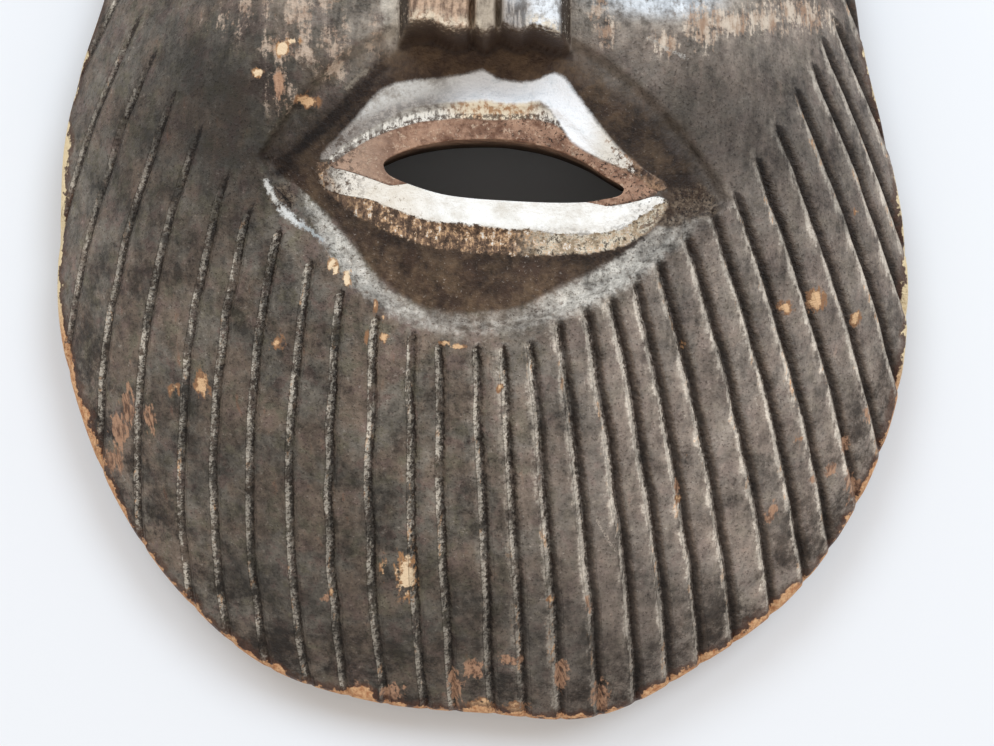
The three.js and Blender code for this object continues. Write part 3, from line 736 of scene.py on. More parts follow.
# How light the stain is, where the nose's front is worn, and where the cuts are faint
tone = 1 + sum(amount * bump(x - px, y - py, wide, tall) for px, py, wide, tall, amount in TONE)
nose_up = np.clip((y - NOSE["bottom"]) / (NOSE["top"] - NOSE["bottom"]), 0, 1)
nose_half = mix(NOSE["wing"], NOSE["bridge"], smooth(0.08, 0.62, nose_up))
nose_span = np.minimum(y - nose_edge(x), nose_half + 0.4 - np.abs(x - NOSE["x"] * (1 - nose_up)))
nose_span = np.minimum(nose_span, 0.2 * (34 - y))
faint = smooth(-62, -40, y - 0.5 * (x + 80)) * smooth(-30, -44, x)
fields = {
    "place_x": x,
    "place_y": y,
    "right": smooth(-15, 40, x),
    "faint": faint,
    "upper_lip": upper_span * above + (above - 1) * 9,
    "lip_facet": facet_span * above + (above - 1) * 9,
    "lower_lip": lower_span * (1 - above) - above * 9,
    "worn_lip": worn_span * (1 - above) - above * 9,
    "inner_lip": np.clip(LIP_INNER(angle) - radius, -9, 9),
    "lip_across": across / 20,
    "basin": np.clip(np.minimum(basin_dark_span, 3 * (radius - LIP_OUTER(angle) + 0.4)), -9, 9),
    # Dirt and painted shade round the lips
    "grime": grime * smooth(2.5, -1, radius - LIP_OUTER(angle)),
    # Painted shade on the nose's underside and below the nose
    "nose_foot": np.clip(np.minimum(0.9 - np.abs(y - nose_edge(x) + 1.2), nose_half + 0.8 - np.abs(
        x - NOSE["x"])), -9, 9) * front - 9 * (1 - front),
    "under_nose": bump(x - NOSE["x"], y - nose_edge(x) + 4, 21, 6) * front,
    "ridge": np.clip(ridge_span, -9, 9) * front - 9 * (1 - front),
    "ridge_light": by_angle(RIDGE_LIGHT, degrees),
    "shadow": np.maximum(np.maximum(crease, lip_edge), np.maximum(np.maximum(
        wedge, 0.6 * corner), 0)) * front,
    "rim": np.maximum(rim_span, -9) * smooth(0, 2, z) - 9 * smooth(2, 0, z),
    "rim_pale": np.maximum(smooth(-147, -153, turn), smooth(-38, -33, turn) * smooth(30, 5, turn)),
    "low_beard": smooth(26, 6, rim_inset) * smooth(-40, -90, y) * front,
    "back": smooth(0.75, 0.35, (z - behind) / (front_height(x, y) - behind)),
    "cream": spots(CREAM_SPOTS),
    "tan": spots(TAN_SPOTS),
    "red": spots(RED_SPOTS),
    "broken": spots(BROKEN_SPOTS, 1),
    "rubbed": spots(RUBBED_AND_SHEEN, 1),
    "orange": spots(ORANGE, 1),
    "tone": tone,
    "nose_front": np.clip(nose_span, -9, 9) * front - 9 * (1 - front),
    "carve": smooth(11, 14.5, z) * front,
}
for name, values in fields.items():
    block_mesh.attributes.new(name, "FLOAT", "POINT").data.foreach_set(
        "value", values.astype(np.float32))

# The material: light hardwood under a brushed black-brown stain
# Stain soaked in unevenly and has rubbed off to a satin grey-brown; the lips are limewashed, the
# rim and the knocks show bare wood, and pale dust sits on the chattered walls of the cuts. Light and
# shade are also painted into the colour: painted highlights on the walls and arrises of the cuts, the
# beard's edge, the nose and a fold, a painted sheen on the cheeks, nose, lips and right-hand side, and
# painted shade in the cuts, the basin, the creases, the mouth corners, under the nose and on the back.
wood = bpy.data.materials.new("stained_hardwood")
wood.use_nodes = True
nodes = wood.node_tree
nodes.nodes.clear()


def add_node(tree, kind, inputs=(), **settings):
    """Adds a node with its settings, links or values, and gives back its outputs."""
    made = tree.nodes.new(kind)
    for name, value in settings.items():
        setattr(made, name, value)
    for key, value in dict(inputs).items():
        if isinstance(value, bpy.types.NodeSocket):
            tree.links.new(value, made.inputs[key])
        else:
            made.inputs[key].default_value = value
    return made.outputs


def hex_color(code):
    """The scene's linear colour for a display colour such as 6b635c."""
    parts = [int(code[k:k + 2], 16) / 255 for k in (0, 2, 4)]
    return (*(part / 12.92 if part <= 0.04045 else ((part + 0.055) / 1.055) ** 2.4
              for part in parts), 1)


place = add_node(nodes, "ShaderNodeTexCoord")["Object"]


def pattern(size, detail=3.0, rough=0.55, stretch=(1, 1, 1), shift=0.0):
    """Noise whose hills are `size` millimetres apart, stretched along an axis, about 0 to 1."""
    scale = tuple(1000 / (size * amount) for amount in stretch)
    where = add_node(nodes, "ShaderNodeMapping", {
        "Vector": place, "Location": (shift, shift, shift), "Scale": scale})[0]
    return add_node(nodes, "ShaderNodeTexNoise", {
        "Vector": where, "Scale": 1.0, "Detail": detail, "Roughness": rough})["Fac"]


def measured(name):
    """One of the measures that the mesh carries, such as how far inside the lip a point is."""
    return add_node(nodes, "ShaderNodeAttribute", attribute_name=name)["Fac"]


def fade(value, low, high):
    """0 where the value is at `low`, 1 where it is at `high`, and soft in between."""
    return add_node(nodes, "ShaderNodeMapRange", {"Value": value, "From Min": low, "From Max": high},
                    interpolation_type="SMOOTHSTEP")[0]


def coat(under, over, amount):
    """One colour over another; colours are display codes or links."""
    colors = [hex_color(color) if isinstance(color, str) else color for color in (under, over)]
    return add_node(nodes, "ShaderNodeMix", {0: amount, 6: colors[0], 7: colors[1]},
                    data_type="RGBA")[2]


def times(first, *others):
    """The share of a place that several shares leave."""
    for other in others:
        first = add_node(nodes, "ShaderNodeMath", {0: first, 1: other}, operation="MULTIPLY")[0]
    return first


def either(first, second):
    """The stronger of two shares."""
    return add_node(nodes, "ShaderNodeMath", {0: first, 1: second}, operation="MAXIMUM")[0]


def plus(value, share_of_it, other):
    """A value with a share of another added to it."""
    return add_node(nodes, "ShaderNodeMath", {0: other, 1: share_of_it, 2: value},
                    operation="MULTIPLY_ADD")[0]


def between(first, second, share_of_way):
    """A value on the way from one to another."""
    return plus(first, share_of_way, plus(second, -1.0, first))


def off(value, middle):
    """How far a value is from a middle, to either side."""
    return add_node(nodes, "ShaderNodeMath", {0: plus(value, -1.0, middle)}, operation="ABSOLUTE")[0]


def shaken(value, jitter, width):
    """A value that a noise moves up and down, `width` in all."""
    return plus(value, width, plus(jitter, -1.0, 0.5))


def ragged(value, width, jitter, low, high):
    """Where a value passes an edge, with the edge broken up by a noise."""
    return fade(shaken(value, jitter, width), low, high)


# Hills of 16 mm where the stain pooled, down to specks of 0.7 mm, which are the finest that show;
# streaks and drift run along the grain
grain = pattern(16, 6, 0.8)
patches = pattern(6, 4, 0.65, shift=3)
mottle = pattern(2.2, 3, 0.7, shift=5)
specks = pattern(0.7, 2, 0.75, shift=7)
streaks = pattern(1.0, 3, 0.65, stretch=(1, 6, 1), shift=17)
chips = pattern(1.3, 4, 0.8, shift=23)
chatter = pattern(1.2, 3, 0.7, stretch=(1.3, 0.8, 1), shift=31)
drift = pattern(2.6, 3, 0.65, stretch=(1, 5, 1), shift=41)
hue = pattern(12, 3, 0.65, shift=47)
across_x = measured("place_x")
right = measured("right")

# Uneven stain: brown, grey, olive and purple-brown where it pooled, with pale and dark flecks
stain_with_painted_light = coat("6c5f53", "69635a", fade(hue, 0.42, 0.6))
stain_with_painted_light = coat(stain_with_painted_light, "645e4f", times(fade(patches, 0.52, 0.64), 0.8))
stain_with_painted_light = coat(stain_with_painted_light, "6a5a52", times(fade(patches, 0.47, 0.36), 0.8))
stain_with_painted_light = coat(stain_with_painted_light, "74503c", times(fade(drift, 0.6, 0.72), fade(hue, 0.5, 0.4), 0.5))
# Painted sheen: the stain is paler on the right-hand side, where the light falls
stain_with_painted_light = coat(stain_with_painted_light, "7a7068", times(right, 0.6))
stain_with_painted_light = coat(stain_with_painted_light, "a89f93", times(fade(chips, 0.58, 0.7), 0.5))
stain_with_painted_light = coat(stain_with_painted_light, "2c231d", times(fade(specks, 0.55, 0.68), 0.65))
# Rubbed places, with a painted blue-grey sheen on the cheeks beside the nose
rubbed = coat("a0978b", coat("cbc2b4", "bcc1c5", right), fade(measured("rubbed"), 0.5, 1.2))
worn_down_and_sheen = times(measured("rubbed"), fade(mottle, 0.2, 0.62), 0.95)
worn_down_and_sheen = add_node(nodes, "ShaderNodeMath", {0: worn_down_and_sheen, 1: 0.95}, operation="MINIMUM")[0]
stain_with_painted_light = coat(stain_with_painted_light, rubbed, worn_down_and_sheen)
amount = shaken(1.0, grain, between(4.4, 3.2, right))
amount = shaken(amount, drift, 1.2)
amount = shaken(amount, mottle, 1.2)
amount = either(times(amount, measured("tone")), 0.3)
stain_with_painted_light = coat(stain_with_painted_light, "33281f", times(measured("low_beard"), fade(grain, 0.56, 0.42), 0.8))

# The cuts: a pale chattered wall, dusty and with a painted highlight, a ragged foot in painted shade,
# and painted shade on the wall that fades to the next run; the worn arris has a painted highlight
cut = measured("cut")
aside = measured("aside")
held = fade(cut, 0.0, 0.12)
near_run = fade(plus(measured("apart"), -1.0, off(aside, 0.0)), 1.0, 0.4)
jagged = shaken(aside, chatter, 2.2)
reach = plus(0.5, 2.1, right)
across_wall = add_node(nodes, "ShaderNodeMath", {0: jagged, 1: reach}, operation="DIVIDE")[0]
shade = times(fade(across_wall, 1.0, 0.45), fade(aside, -0.15, 0.05), held)
shade = times(shade, between(plus(0.1, 0.5, fade(drift, 0.42, 0.58)), 0.8, right))
stain_with_painted_light = coat(stain_with_painted_light, coat("463a30", "1d1510", fade(jagged, 1.7, 0.7)), shade)
worn_lit_arris = times(right, fade(aside, -3.6, -1.0), fade(aside, 0.0, -0.4), near_run)
stain_with_painted_light = coat(stain_with_painted_light, "a79c8f", times(worn_lit_arris, fade(plus(drift, 0.7, chips), 0.7, 1.0), 0.64))
wall_width = either(shaken(plus(2.4, -1.5, right), drift, 2.2), 0.4)
outward = add_node(nodes, "ShaderNodeMath", {0: jagged, 1: wall_width}, operation="DIVIDE")[0]
outward = plus(outward, 0.7, right)
wall = times(fade(outward, -1.4, -0.8), fade(outward, 0.08, -0.14),
    either(held, times(right, near_run)), fade(measured("deep"), 0.2, 0.7))
lit = shaken(chips, drift, 1.2)
lit = fade(plus(lit, 0.12, right), 0.36, 0.54)
wall_color = coat("c2b9aa", "b9b0a3", right)
wall_color = coat(wall_color, "d2a274", times(fade(hue, 0.54, 0.6), fade(streaks, 0.5, 0.62), 0.8))
wall_color = coat(wall_color, "4b4036", times(fade(specks, 0.5, 0.6), plus(0.8, -0.5, right)))
lit = either(lit, times(right, plus(-0.1, 1.4, drift)))
faint = plus(1.0, plus(-0.85, 0.5, fade(drift, 0.45, 0.62)), measured("faint"))
stain_with_painted_light = coat(stain_with_painted_light, wall_color, times(wall, lit, faint, plus(0.92, -0.12, right)))
notch_shade = times(fade(jagged, -0.9, -0.5), fade(jagged, 0.7, 0.2), held)
notch_shade = times(notch_shade, fade(plus(chips, 0.6, drift), 0.7, 0.84))
stain_with_painted_light = coat(stain_with_painted_light, "231912", times(notch_shade, 0.9))

# The sunk basin is warm, dark and smooth, its stain deepened with painted shade and darkest in its
# creases, and its edge is dusty with a painted highlight
basin = ragged(measured("basin"), 2.2, patches, -0.4, 1.0)
basin_stain_and_shade = coat("37281e", "524131", fade(plus(patches, 0.5, mottle), 0.6, 0.9))
basin_stain_and_shade = coat(basin_stain_and_shade, "a0958a", times(fade(specks, 0.62, 0.74), 0.5))
stain_with_painted_light = coat(stain_with_painted_light, basin_stain_and_shade, times(basin, 0.95))
# Painted shade in the creases, along the lips' outer edges and at the mouth corners
stain_with_painted_light = coat(stain_with_painted_light, "21160f", times(measured("shadow"), plus(0.6, 0.35, fade(chips, 0.6, 0.4))))
# The beard's raised edge: dust, with a painted highlight on its up-facing slope
ridge = ragged(measured("ridge"), 2.8, chips, -0.3, 1.3)
ridge_dust_and_light_share = shaken(measured("ridge_light"), mottle, 1.1)
ridge_dust_and_light_share = add_node(nodes, "ShaderNodeClamp", {"Value": ridge_dust_and_light_share})[0]
ridge_dust_and_light_color = coat("6b6055", "dad6cc", ridge_dust_and_light_share)
stain_with_painted_light = coat(stain_with_painted_light, ridge_dust_and_light_color, times(ridge, fade(chips, 0.3, 0.5), 0.9))
stain_with_painted_light = coat(stain_with_painted_light, "3a2c23", times(ridge, fade(specks, 0.58, 0.68), 0.7))
stain_with_painted_light = add_node(nodes, "ShaderNodeHueSaturation", {"Color": stain_with_painted_light, "Value": amount})[0]

# Bare wood on the cheeks, on the nose, in the knocks and round the rim
bare = coat(coat("9c7c66", "ab8a70", right), coat("d3bda8", "e2d2be", right),
    fade(plus(drift, 0.5, mottle), 0.6, 0.9))
torn = shaken(shaken(chips, between(drift, streaks, right), 0.9), between(patches, mottle, right), 0.7)
worn_through = times(ragged(measured("orange"), 2.2, torn, 0.3, 0.8),
    fade(measured("orange"), 0.02, 0.3))
surface = coat(stain_with_painted_light, bare, times(worn_through, 0.75))

# Painted shade under the nose and on its underside, and the nose's front: brown and tan at the left,
# rubbed pale at the right with a painted blue-white highlight
shade_below_nose = shaken(measured("under_nose"), mottle, 0.5)
surface = coat(surface, coat("423228", "66523f", fade(plus(patches, 0.5, mottle), 0.55, 0.95)),
    times(fade(shade_below_nose, 0.0, 0.6), 0.92))
surface = coat(surface, "30231b", times(fade(measured("nose_foot"), -0.7, 0.5), 0.8))
nose_side = fade(plus(across_x, 3.0, streaks), 5.2, 7.2)
worn_streaks = fade(between(streaks, mottle, 0.5), 0.38, 0.6)
nose_color = coat(coat("6f5a4b", "c7a98f", worn_streaks), coat("857869", "b3a592", worn_streaks),
    fade(across_x, -3, -0.5))
# Painted blue-white highlight over the rubbed right side of the nose
nose_wear_and_highlight = coat("a3a2a1", "e9edf0", fade(mottle, 0.36, 0.6))
# Painted shade in the middle of the right wing
nose_wear_and_highlight = coat(nose_wear_and_highlight, coat("4f463f", "a99f95", fade(streaks, 0.4, 0.6)),
    times(fade(across_x, 13, 9), fade(measured("nose_front"), 8, 4), 0.9))
nose_color = coat(nose_color, nose_wear_and_highlight, nose_side)
# A painted highlight along the worn lower edge of the nose's front
nose_color = coat(nose_color, "ecdcc2", times(fade(measured("nose_front"), 3.6, 0.4),
    fade(chips, 0.4, 0.56), fade(off(across_x, 5), 4, 7), 0.8))
# Painted shade in the creases at the nose's sides
nose_side_shade = times(fade(off(across_x, 0.9), 16.0, 17.4), fade(chips, 0.68, 0.56))
nose_color = coat(nose_color, "33281f", nose_side_shade)
nose_wear = ragged(measured("nose_front"), 2.2, streaks, -0.3, 0.6)
surface = coat(surface, nose_color, nose_wear)

# Knocks down to red, tan and cream wood, and the pitted corners of the mouth
broken = shaken(between(mottle, streaks, 0.45), drift, 0.9)
red, tan, cream = (times(ragged(measured(name), 2.4, broken, 0.3, 0.6),
    fade(measured(name), 0.05, 0.25)) for name in ("red", "tan", "cream"))
knock = coat("8f6a4c", "dbb48a", ragged(measured("tan"), 1.9, mottle, 0.5, 0.8))
surface = coat(surface, coat("624534", "b58d70", fade(streaks, 0.36, 0.58)), times(red, 0.85))
pitted = ragged(measured("broken"), 0.9, patches, 0.25, 0.6)
pitted_wood = coat("3b2d23", "7b6c5b", fade(plus(chips, 0.6, mottle), 0.7, 0.98))
surface = coat(surface, coat(pitted_wood, "1c1410", fade(specks, 0.54, 0.64)), times(pitted, 0.85))
surface = coat(surface, knock, tan)
surface = coat(surface, coat("a97f58", "ecd2ae", ragged(measured("cream"), 1.6, mottle, 0.45, 0.7)),
    cream)

# The rim's bare edge, with a dark border of torn stain
rim_value = shaken(measured("rim"), mottle, 3.0)
rim_value = shaken(rim_value, patches, 9.0)
surface = coat(surface, "4d3124", times(fade(rim_value, -2.6, -0.2), 0.75))
rim = fade(rim_value, -0.2, 0.4)
rim_wood = coat("a8714c", "dfb589", fade(plus(chips, 0.5, streaks), 0.55, 0.95))
rim_wood = coat(rim_wood, "e6d5ad", times(measured("rim_pale"), 0.85))
surface = coat(surface, rim_wood, rim)

# Splinters, cracks and scratches, and a painted highlight along a fold
flat = add_node(nodes, "ShaderNodeCombineXYZ", {
    "X": shaken(across_x, chips, 3.0), "Y": shaken(measured("place_y"), specks, 3.0)})[0]


def marks(under, color, wide, places, edge=0.3, solid=0.7):
    """Lays narrow marks from place to place over the finish so far; sizes are millimetres."""
    total = 0.0
    for (ax, ay), (bx, by) in zip(places, places[1:]):
        length = (bx - ax) ** 2 + (by - ay) ** 2
        away = add_node(nodes, "ShaderNodeVectorMath", {0: flat, 1: (ax, ay, 0)},
                        operation="SUBTRACT")[0]
        along = add_node(nodes, "ShaderNodeVectorMath", {
            0: away, 1: ((bx - ax) / length, (by - ay) / length, 0)}, operation="DOT_PRODUCT")[1]
        along = add_node(nodes, "ShaderNodeClamp", {"Value": along})[0]
        reached = add_node(nodes, "ShaderNodeVectorMath", {
            0: (bx - ax, by - ay, 0), "Scale": along}, operation="SCALE")[0]
        apart = add_node(nodes, "ShaderNodeVectorMath", {0: away, 1: reached},
                         operation="DISTANCE")[1]
        total = either(fade(apart, (wide + edge) / 2, (wide - edge) / 2), total)
    broken_up = fade(broken, 0.56 - 0.3 * solid, 0.62 - 0.3 * solid)
    return coat(under, color, times(total, broken_up))


surface = marks(surface, "d0cec7", 1.0,
    [(-50.6, -33), (-48.8, -36.6), (-46.8, -39.4), (-44, -41.8)], 1.0, 0.6)
surface = marks(surface, "d6d6d2", 1.5, [(-47.2, -39.1), (-44.6, -41.5), (-42.4, -42.9)], 1.2, 0.7)
surface = marks(surface, "aeb2b1", 0.8, [(-42.4, -42.9), (-40.2, -44.3), (-37.4, -46.4)], 0.9, 0.6)
surface = marks(surface, "15100c", 0.45, [(-48.2, -34.4), (-46.1, -36.9), (-44.8, -39)])
# A painted highlight along the fold beside the upper lip
surface = marks(surface, "857b6d", 0.8, [(-31.4, -11.4), (-29, -9.2), (-27, -7.6)], 1.0)
surface = marks(surface, "aba69e", 0.25, [(38.5, -0.5), (43, -2.8), (48.1, -4.5)])
surface = marks(surface, "a99d90", 0.35, [(27.8, -113.4), (30.1, -117.7), (32.5, -121)])

# The lips are bare brown wood inside, round the opening
lip_left = fade(measured("lip_across"), -0.5, -1.1)
inner = fade(measured("inner_lip"), -0.4, 0.1)
inner_wood = coat("6c4c3b", "b18d75", fade(plus(patches, 0.5, mottle), 0.58, 0.9))
inner_wood = coat(inner_wood, "b79b86", times(fade(measured("lip_across"), -1.0, -1.6), 0.7))
inner_wood = coat(inner_wood, "d8bfa6", times(fade(chips, 0.56, 0.66), 0.7))
inner_wood = coat(inner_wood, "32231b", times(fade(specks, 0.54, 0.66),
    plus(0.2, 0.8, fade(measured("lip_across"), -0.9, 0.7))))
inner_wood = coat(inner_wood, "2e211b", times(fade(measured("inner_lip"), 1.8, 0.0),
    fade(chips, 0.6, 0.42)))
surface = coat(surface, inner_wood, inner)

# Below the lower lip's limewash its face is worn and flaked
worn = ragged(measured("worn_lip"), 3.0, chips, -0.2, 0.9)
lip_right = fade(measured("lip_across"), 0.2, 0.8)
worn_wood = coat(coat("503f32", "7f6551", fade(mottle, 0.4, 0.6)),
    coat("9c8a72", "ddd2bd", fade(mottle, 0.38, 0.56)), lip_right)
flaked = plus(chips, 0.8, between(streaks, chips, times(lip_right, 0.8)))
worn_wood = coat(worn_wood, "cda77f", times(fade(plus(flaked, 0.4, mottle), 1.1, 1.24), 0.9))
worn_wood = coat(worn_wood, "e4ded3", fade(flaked, 1.02, 1.12))
worn_wood = coat(worn_wood, "33271f", times(fade(flaked, 0.82, 0.74), 0.85))
surface = coat(surface, worn_wood, worn)

# The upper lip has a flecked facet along its edge, and limewash whose blue-white is partly a painted
# sheen, rubbed grey and darkened with painted shade towards its left end
facet = fade(measured("lip_facet"), -1.2, -0.7)
flecks = coat("6f675f", "b3ada3", fade(mottle, 0.38, 0.6))
torn_edge = times(fade(measured("inner_lip"), -2.6, -1.4), fade(plus(streaks, 0.6, chips), 0.72, 0.84))
flecks = coat(flecks, "ece6da", torn_edge)
middle = times(fade(measured("lip_across"), -0.75, -0.3), fade(measured("lip_across"), 0.6, 0.2))
flecks = coat(flecks, coat("bd9570", "f4e6cb", fade(plus(streaks, 0.6, mottle), 0.66, 0.88)), middle)
flecks = coat(flecks, "4a382d", times(fade(measured("inner_lip"), -0.7, -0.1), fade(chips, 0.56, 0.46),
    0.85))
surface = coat(surface, flecks, facet)
upper = ragged(measured("upper_lip"), 1.4, chips, -0.5, 0.8)
upper_limewash_and_sheen = coat("e4e9ec", "fdfeff", fade(plus(mottle, 0.6, patches), 0.45, 0.85))
cloudy = between(between(patches, mottle, 0.5), chips, 0.3)
upper_grey_and_shade = coat("958c81", "d2cfc8", fade(cloudy, 0.4, 0.56))
lower_edge = shaken(measured("inner_lip"), cloudy, 9.0)
upper_grey_and_shade = coat(upper_grey_and_shade, coat("62574c", "a0958a", fade(chips, 0.42, 0.6)),
    times(fade(lower_edge, -8.2, -4.2), 0.9))
upper_limewash_and_sheen = coat(upper_limewash_and_sheen, upper_grey_and_shade, times(fade(measured("lip_across"), -0.15, -0.9), 0.92))
lip_end = shaken(measured("lip_across"), chips, 1.6)
upper_limewash_and_sheen = coat(upper_limewash_and_sheen, "d3c7b2", times(fade(measured("lip_across"), 0.9, 1.3), 0.7))
upper_limewash_and_sheen = coat(upper_limewash_and_sheen, coat("3f3027", "9b7c62", fade(mottle, 0.36, 0.6)),
    fade(lip_end, 1.35, 1.6))
surface = coat(surface, upper_limewash_and_sheen, upper)

# The lower lip has thick cream-white limewash, and dirt and painted shade darken both corners and
# the edges of the lips
flakes = between(chips, mottle, 0.5)
lower = shaken(measured("lower_lip"), flakes, plus(4.5, 5.0, lip_right))
lower = times(fade(lower, -0.2, 0.25), fade(shaken(measured("lip_across"), flakes, 1.6), -2.02, -1.72))
lower_white = coat("e0dacf", "faf8f2", fade(patches, 0.3, 0.6))
lower_white = coat(lower_white, "e2d5c0", times(lip_left, 0.5))
lower_white = coat(lower_white, "8f7d68", times(fade(chips, 0.57, 0.67), lip_left, 0.8))
surface = coat(surface, lower_white, lower)
surface = coat(surface, "43342a", times(measured("grime"), fade(plus(chips, 0.6, mottle), 0.78, 0.9),
    0.85))

# The back was left rough from the gouge, with little stain; its dark brown is partly painted shade
# for the inside of the hollow
surface = coat(surface, coat("42352b", "5c4939", fade(patches, 0.3, 0.7)), measured("back"))

# Limewash is more even in its gloss than stain, and bare wood is dull; specks, mottle and the
# chatter of the gouge stand up a little
limewash = fade(either(measured("upper_lip"), measured("lower_lip")), -0.3, 0.3)
gloss = plus(0.36, 0.3, patches)
gloss = either(gloss, times(either(rim, measured("back")), 0.78))
gloss = between(gloss, 0.4, limewash)
height = plus(times(specks, 0.6), 0.8, mottle)
height = plus(height, times(fade(measured("cut"), 0.0, 0.12), 1.6), chatter)
height = plus(height, 0.3, limewash)
relief = add_node(nodes, "ShaderNodeBump", {
    "Strength": 1.0, "Distance": 0.0005, "Height": height})["Normal"]
shader = add_node(nodes, "ShaderNodeBsdfPrincipled", {
    "Base Color": surface, "Roughness": gloss, "Normal": relief, "IOR": 1.45,
    "Specular IOR Level": 0.25})["BSDF"]
add_node(nodes, "ShaderNodeOutputMaterial", {"Surface": shader})

# The cuts themselves
# Each point of the mask finds the nearest run of the gouge, and sinks by a V with one steep and
# one shallow wall; the tree also writes down where on a cut each point lies.
cutter = bpy.data.node_groups.new("gouge_cuts", "GeometryNodeTree")
for name, kind in (("Mask", "NodeSocketGeometry"), ("Runs", "NodeSocketObject"),
                   ("Wall softness", "NodeSocketFloat"), ("Chatter", "NodeSocketFloat"),
                   ("Chatter seed", "NodeSocketFloat"), ("Wood", "NodeSocketMaterial")):
    cutter.interface.new_socket(name, in_out="INPUT", socket_type=kind)
cutter.interface.new_socket("Mask", in_out="OUTPUT", socket_type="NodeSocketGeometry")

given = add_node(cutter, "NodeGroupInput")
lines_in = add_node(cutter, "GeometryNodeObjectInfo", {"Object": given["Runs"]})["Geometry"]
here = add_node(cutter, "GeometryNodeInputPosition")[0]
flat_here = add_node(cutter, "ShaderNodeVectorMath", {0: here, 1: (1, 1, 0)}, operation="MULTIPLY")[0]
nearest = add_node(cutter, "GeometryNodeProximity", {0: lines_in, "Sample Position": flat_here},
                   target_element="EDGES")
index = add_node(cutter, "GeometryNodeSampleNearest", {0: lines_in, "Sample Position": flat_here},
                 domain="POINT")[0]


def of_run(name):
    """A size of the nearest run, such as the width of its left wall."""
    named = add_node(cutter, "GeometryNodeInputNamedAttribute", {"Name": name}, data_type="FLOAT")[0]
    return add_node(cutter, "GeometryNodeSampleIndex", {0: lines_in, 1: named, 2: index},
                    data_type="FLOAT", domain="POINT")[0]


# The left wall is chattered and steep, the right one is smooth and shallow
here_x = add_node(cutter, "ShaderNodeSeparateXYZ", {0: here})[0]
line_x = add_node(cutter, "ShaderNodeSeparateXYZ", {0: nearest["Position"]})[0]
on_right = add_node(cutter, "ShaderNodeMath", {0: here_x, 1: line_x}, operation="GREATER_THAN")[0]
shaking = add_node(cutter, "ShaderNodeTexNoise", {
    "W": given["Chatter seed"], "Vector": here, "Scale": 450.0, "Detail": 1.0},
    noise_dimensions="4D")[0]
shaking = add_node(cutter, "ShaderNodeMath", {0: shaking, 1: 0.5}, operation="SUBTRACT")[0]
shaking = add_node(cutter, "ShaderNodeMath", {0: shaking, 1: given["Chatter"]},
                   operation="MULTIPLY")[0]
left_side = add_node(cutter, "ShaderNodeMath", {0: nearest["Distance"], 1: shaking},
                     operation="ADD")[0]
left_side = add_node(cutter, "ShaderNodeMath", {0: left_side, 1: of_run("left_wall")},
                     operation="DIVIDE")[0]
right_side = add_node(cutter, "ShaderNodeMath", {0: nearest["Distance"], 1: of_run("right_wall")},
                      operation="DIVIDE")[0]
left_depth, right_depth = (add_node(cutter, "ShaderNodeMath", {0: 1.0, 1: side},
                                    operation="SUBTRACT", use_clamp=True)[0]
                           for side in (left_side, right_side))
right_depth = add_node(cutter, "ShaderNodeMath", {0: right_depth, 1: given["Wall softness"]},
                       operation="POWER")[0]
sunk = add_node(cutter, "ShaderNodeMath", {0: right_depth, 1: left_depth}, operation="SUBTRACT")[0]
sunk = add_node(cutter, "ShaderNodeMath", {0: on_right, 1: sunk, 2: left_depth},
                operation="MULTIPLY_ADD")[0]
carve = add_node(cutter, "GeometryNodeInputNamedAttribute", {"Name": "carve"}, data_type="FLOAT")[0]
sunk = add_node(cutter, "ShaderNodeMath", {0: sunk, 1: carve}, operation="MULTIPLY")[0]
down = add_node(cutter, "ShaderNodeMath", {0: sunk, 1: of_run("cut_depth")}, operation="MULTIPLY")[0]
down = add_node(cutter, "ShaderNodeMath", {0: down, 1: -1.0}, operation="MULTIPLY")[0]
drop = add_node(cutter, "ShaderNodeCombineXYZ", {2: down})[0]
carved = add_node(cutter, "GeometryNodeSetPosition", {0: given["Mask"], "Offset": drop})[0]

# What the stain needs: how far down a cut a point is, how far from its run in millimetres, to
# which side, and how deep the cut is, where 1.2 mm counts as deep
deep = add_node(cutter, "ShaderNodeMath", {0: of_run("cut_depth"), 1: 0.0012}, operation="DIVIDE",
                use_clamp=True)[0]
cut_here = add_node(cutter, "ShaderNodeMath", {0: sunk, 1: deep}, operation="MULTIPLY")[0]
side_of_run = add_node(cutter, "ShaderNodeMath", {0: on_right, 1: 2000.0, 2: -1000.0},
                       operation="MULTIPLY_ADD")[0]
aside_run = add_node(cutter, "ShaderNodeMath", {0: nearest["Distance"], 1: side_of_run},
                     operation="MULTIPLY")[0]
apart_run = add_node(cutter, "ShaderNodeMath", {0: nearest["Distance"], 1: 1000.0},
                     operation="MULTIPLY")[0]
for name, value in (("cut", cut_here), ("aside", aside_run), ("deep", deep), ("apart", apart_run)):
    carved = add_node(cutter, "GeometryNodeStoreNamedAttribute", {
        0: carved, "Name": name, "Value": value}, data_type="FLOAT", domain="POINT")[0]
carved = add_node(cutter, "GeometryNodeRealizeInstances", {0: carved})[0]
carved = add_node(cutter, "GeometryNodeSetMaterial", {0: carved, "Material": given["Wood"]})[0]
add_node(cutter, "NodeGroupOutput", {0: carved})

block = bpy.data.objects.new("block", block_mesh)
bpy.context.scene.collection.objects.link(block)
carving = block.modifiers.new("gouge_cuts", "NODES")
carving.node_group = cutter
settings = {"Runs": runs, "Wall softness": 1.8, "Chatter": 0.0005, "Chatter seed": 4.0, "Wood": wood}
for socket in cutter.interface.items_tree:
    if socket.name in settings and socket.in_out == "INPUT":
        carving[socket.identifier] = settings[socket.name]
evaluated = block.evaluated_get(bpy.context.evaluated_depsgraph_get())
mask_mesh = bpy.data.meshes.new_from_object(evaluated)
mask_mesh.name = "carved_mask"
mask = bpy.data.objects.new("carved_mask", mask_mesh)
bpy.context.scene.collection.objects.link(mask)
for spent in (block, runs):
    bpy.data.objects.remove(spent)
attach(mask, "root")
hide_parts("mask")

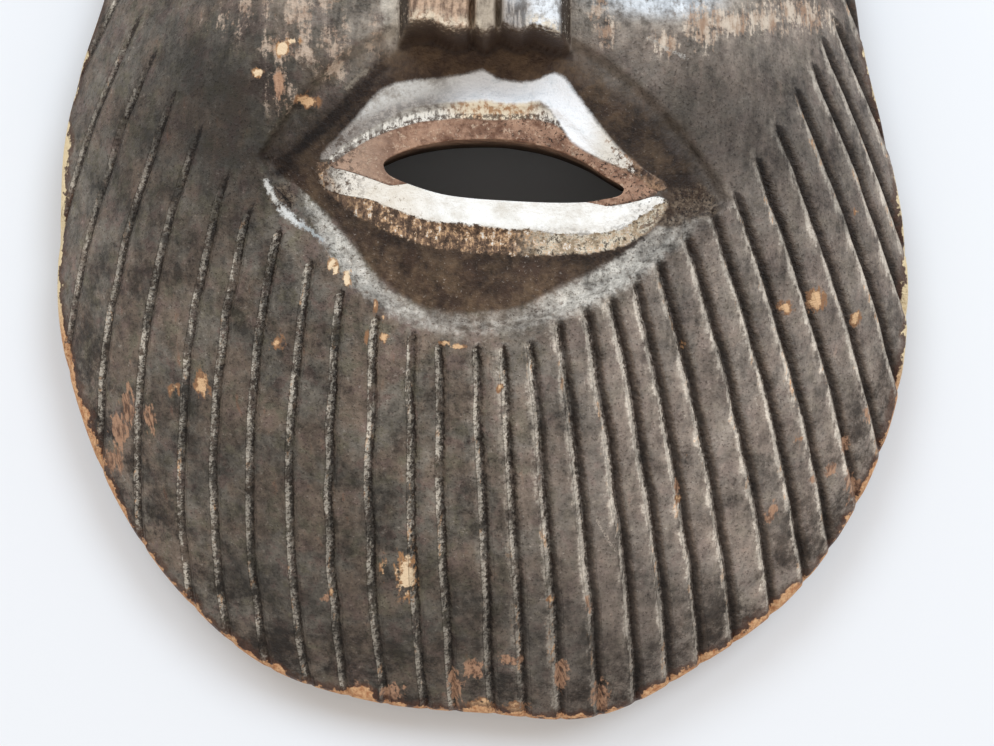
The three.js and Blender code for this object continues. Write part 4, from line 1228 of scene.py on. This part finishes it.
# The floor, the light and the camera
# The mask lies on a plain pale floor, and two large windows light it from above.
FLOOR_LEVEL = -0.0004
floor_mesh = bpy.data.meshes.new("floor")
floor_mesh.from_pydata([(x, y, FLOOR_LEVEL) for x, y in ((-3, -3), (3, -3), (3, 3), (-3, 3))], [],
                       [(0, 1, 2, 3)])
floor = bpy.data.objects.new("floor", floor_mesh)
bpy.context.scene.collection.objects.link(floor)
pale = bpy.data.materials.new("pale_floor")
pale.use_nodes = True
pale_shader = pale.node_tree.nodes["Principled BSDF"]
pale_shader.inputs["Base Color"].default_value = hex_color("ebedef")
pale_shader.inputs["Roughness"].default_value = 0.6
floor_mesh.materials.append(pale)

world = bpy.data.worlds.new("studio")
world.use_nodes = True
world.node_tree.nodes["Background"].inputs["Color"].default_value = hex_color("fff7f0")
world.node_tree.nodes["Background"].inputs["Strength"].default_value = 0.75
bpy.context.scene.world = world
bpy.context.scene.view_settings.view_transform = "Standard"

WINDOW_WIDE, DAYLIGHT, LIT_PLACE = 1.2, "ddeeff", (0, -0.05, 0.03)


def window_light(name, place, watts):
    """A round window that shines on the middle of the mask."""
    lamp_data = bpy.data.lights.new(name, "AREA")
    lamp_data.shape = "DISK"
    lamp_data.size = WINDOW_WIDE
    lamp_data.energy = watts
    lamp_data.color = hex_color(DAYLIGHT)[:3]
    lamp = bpy.data.objects.new(name, lamp_data)
    lamp.location = place
    lamp.rotation_euler = (Vector(LIT_PLACE) - Vector(place)).to_track_quat("-Z", "Y").to_euler()
    bpy.context.scene.collection.objects.link(lamp)


window_light("window", (1.2, 1.25, 2.2), 31)
window_light("far_window", (-0.9, 1.6, 2.0), 23)

# The photo's width and focal length in pixels, and a camera with a sensor of 36 mm
PHOTO_WIDE, FOCAL_LENGTH, SENSOR_WIDE = 994, 1680, 36
camera_data = bpy.data.cameras.new("camera")
camera_data.sensor_width = SENSOR_WIDE
camera_data.lens = FOCAL_LENGTH / PHOTO_WIDE * SENSOR_WIDE
camera_data.clip_start = 0.01
camera = bpy.data.objects.new("camera", camera_data)
camera.location = (0.00365, -0.0778, 0.45)
bpy.context.scene.collection.objects.link(camera)
bpy.context.scene.camera = camera
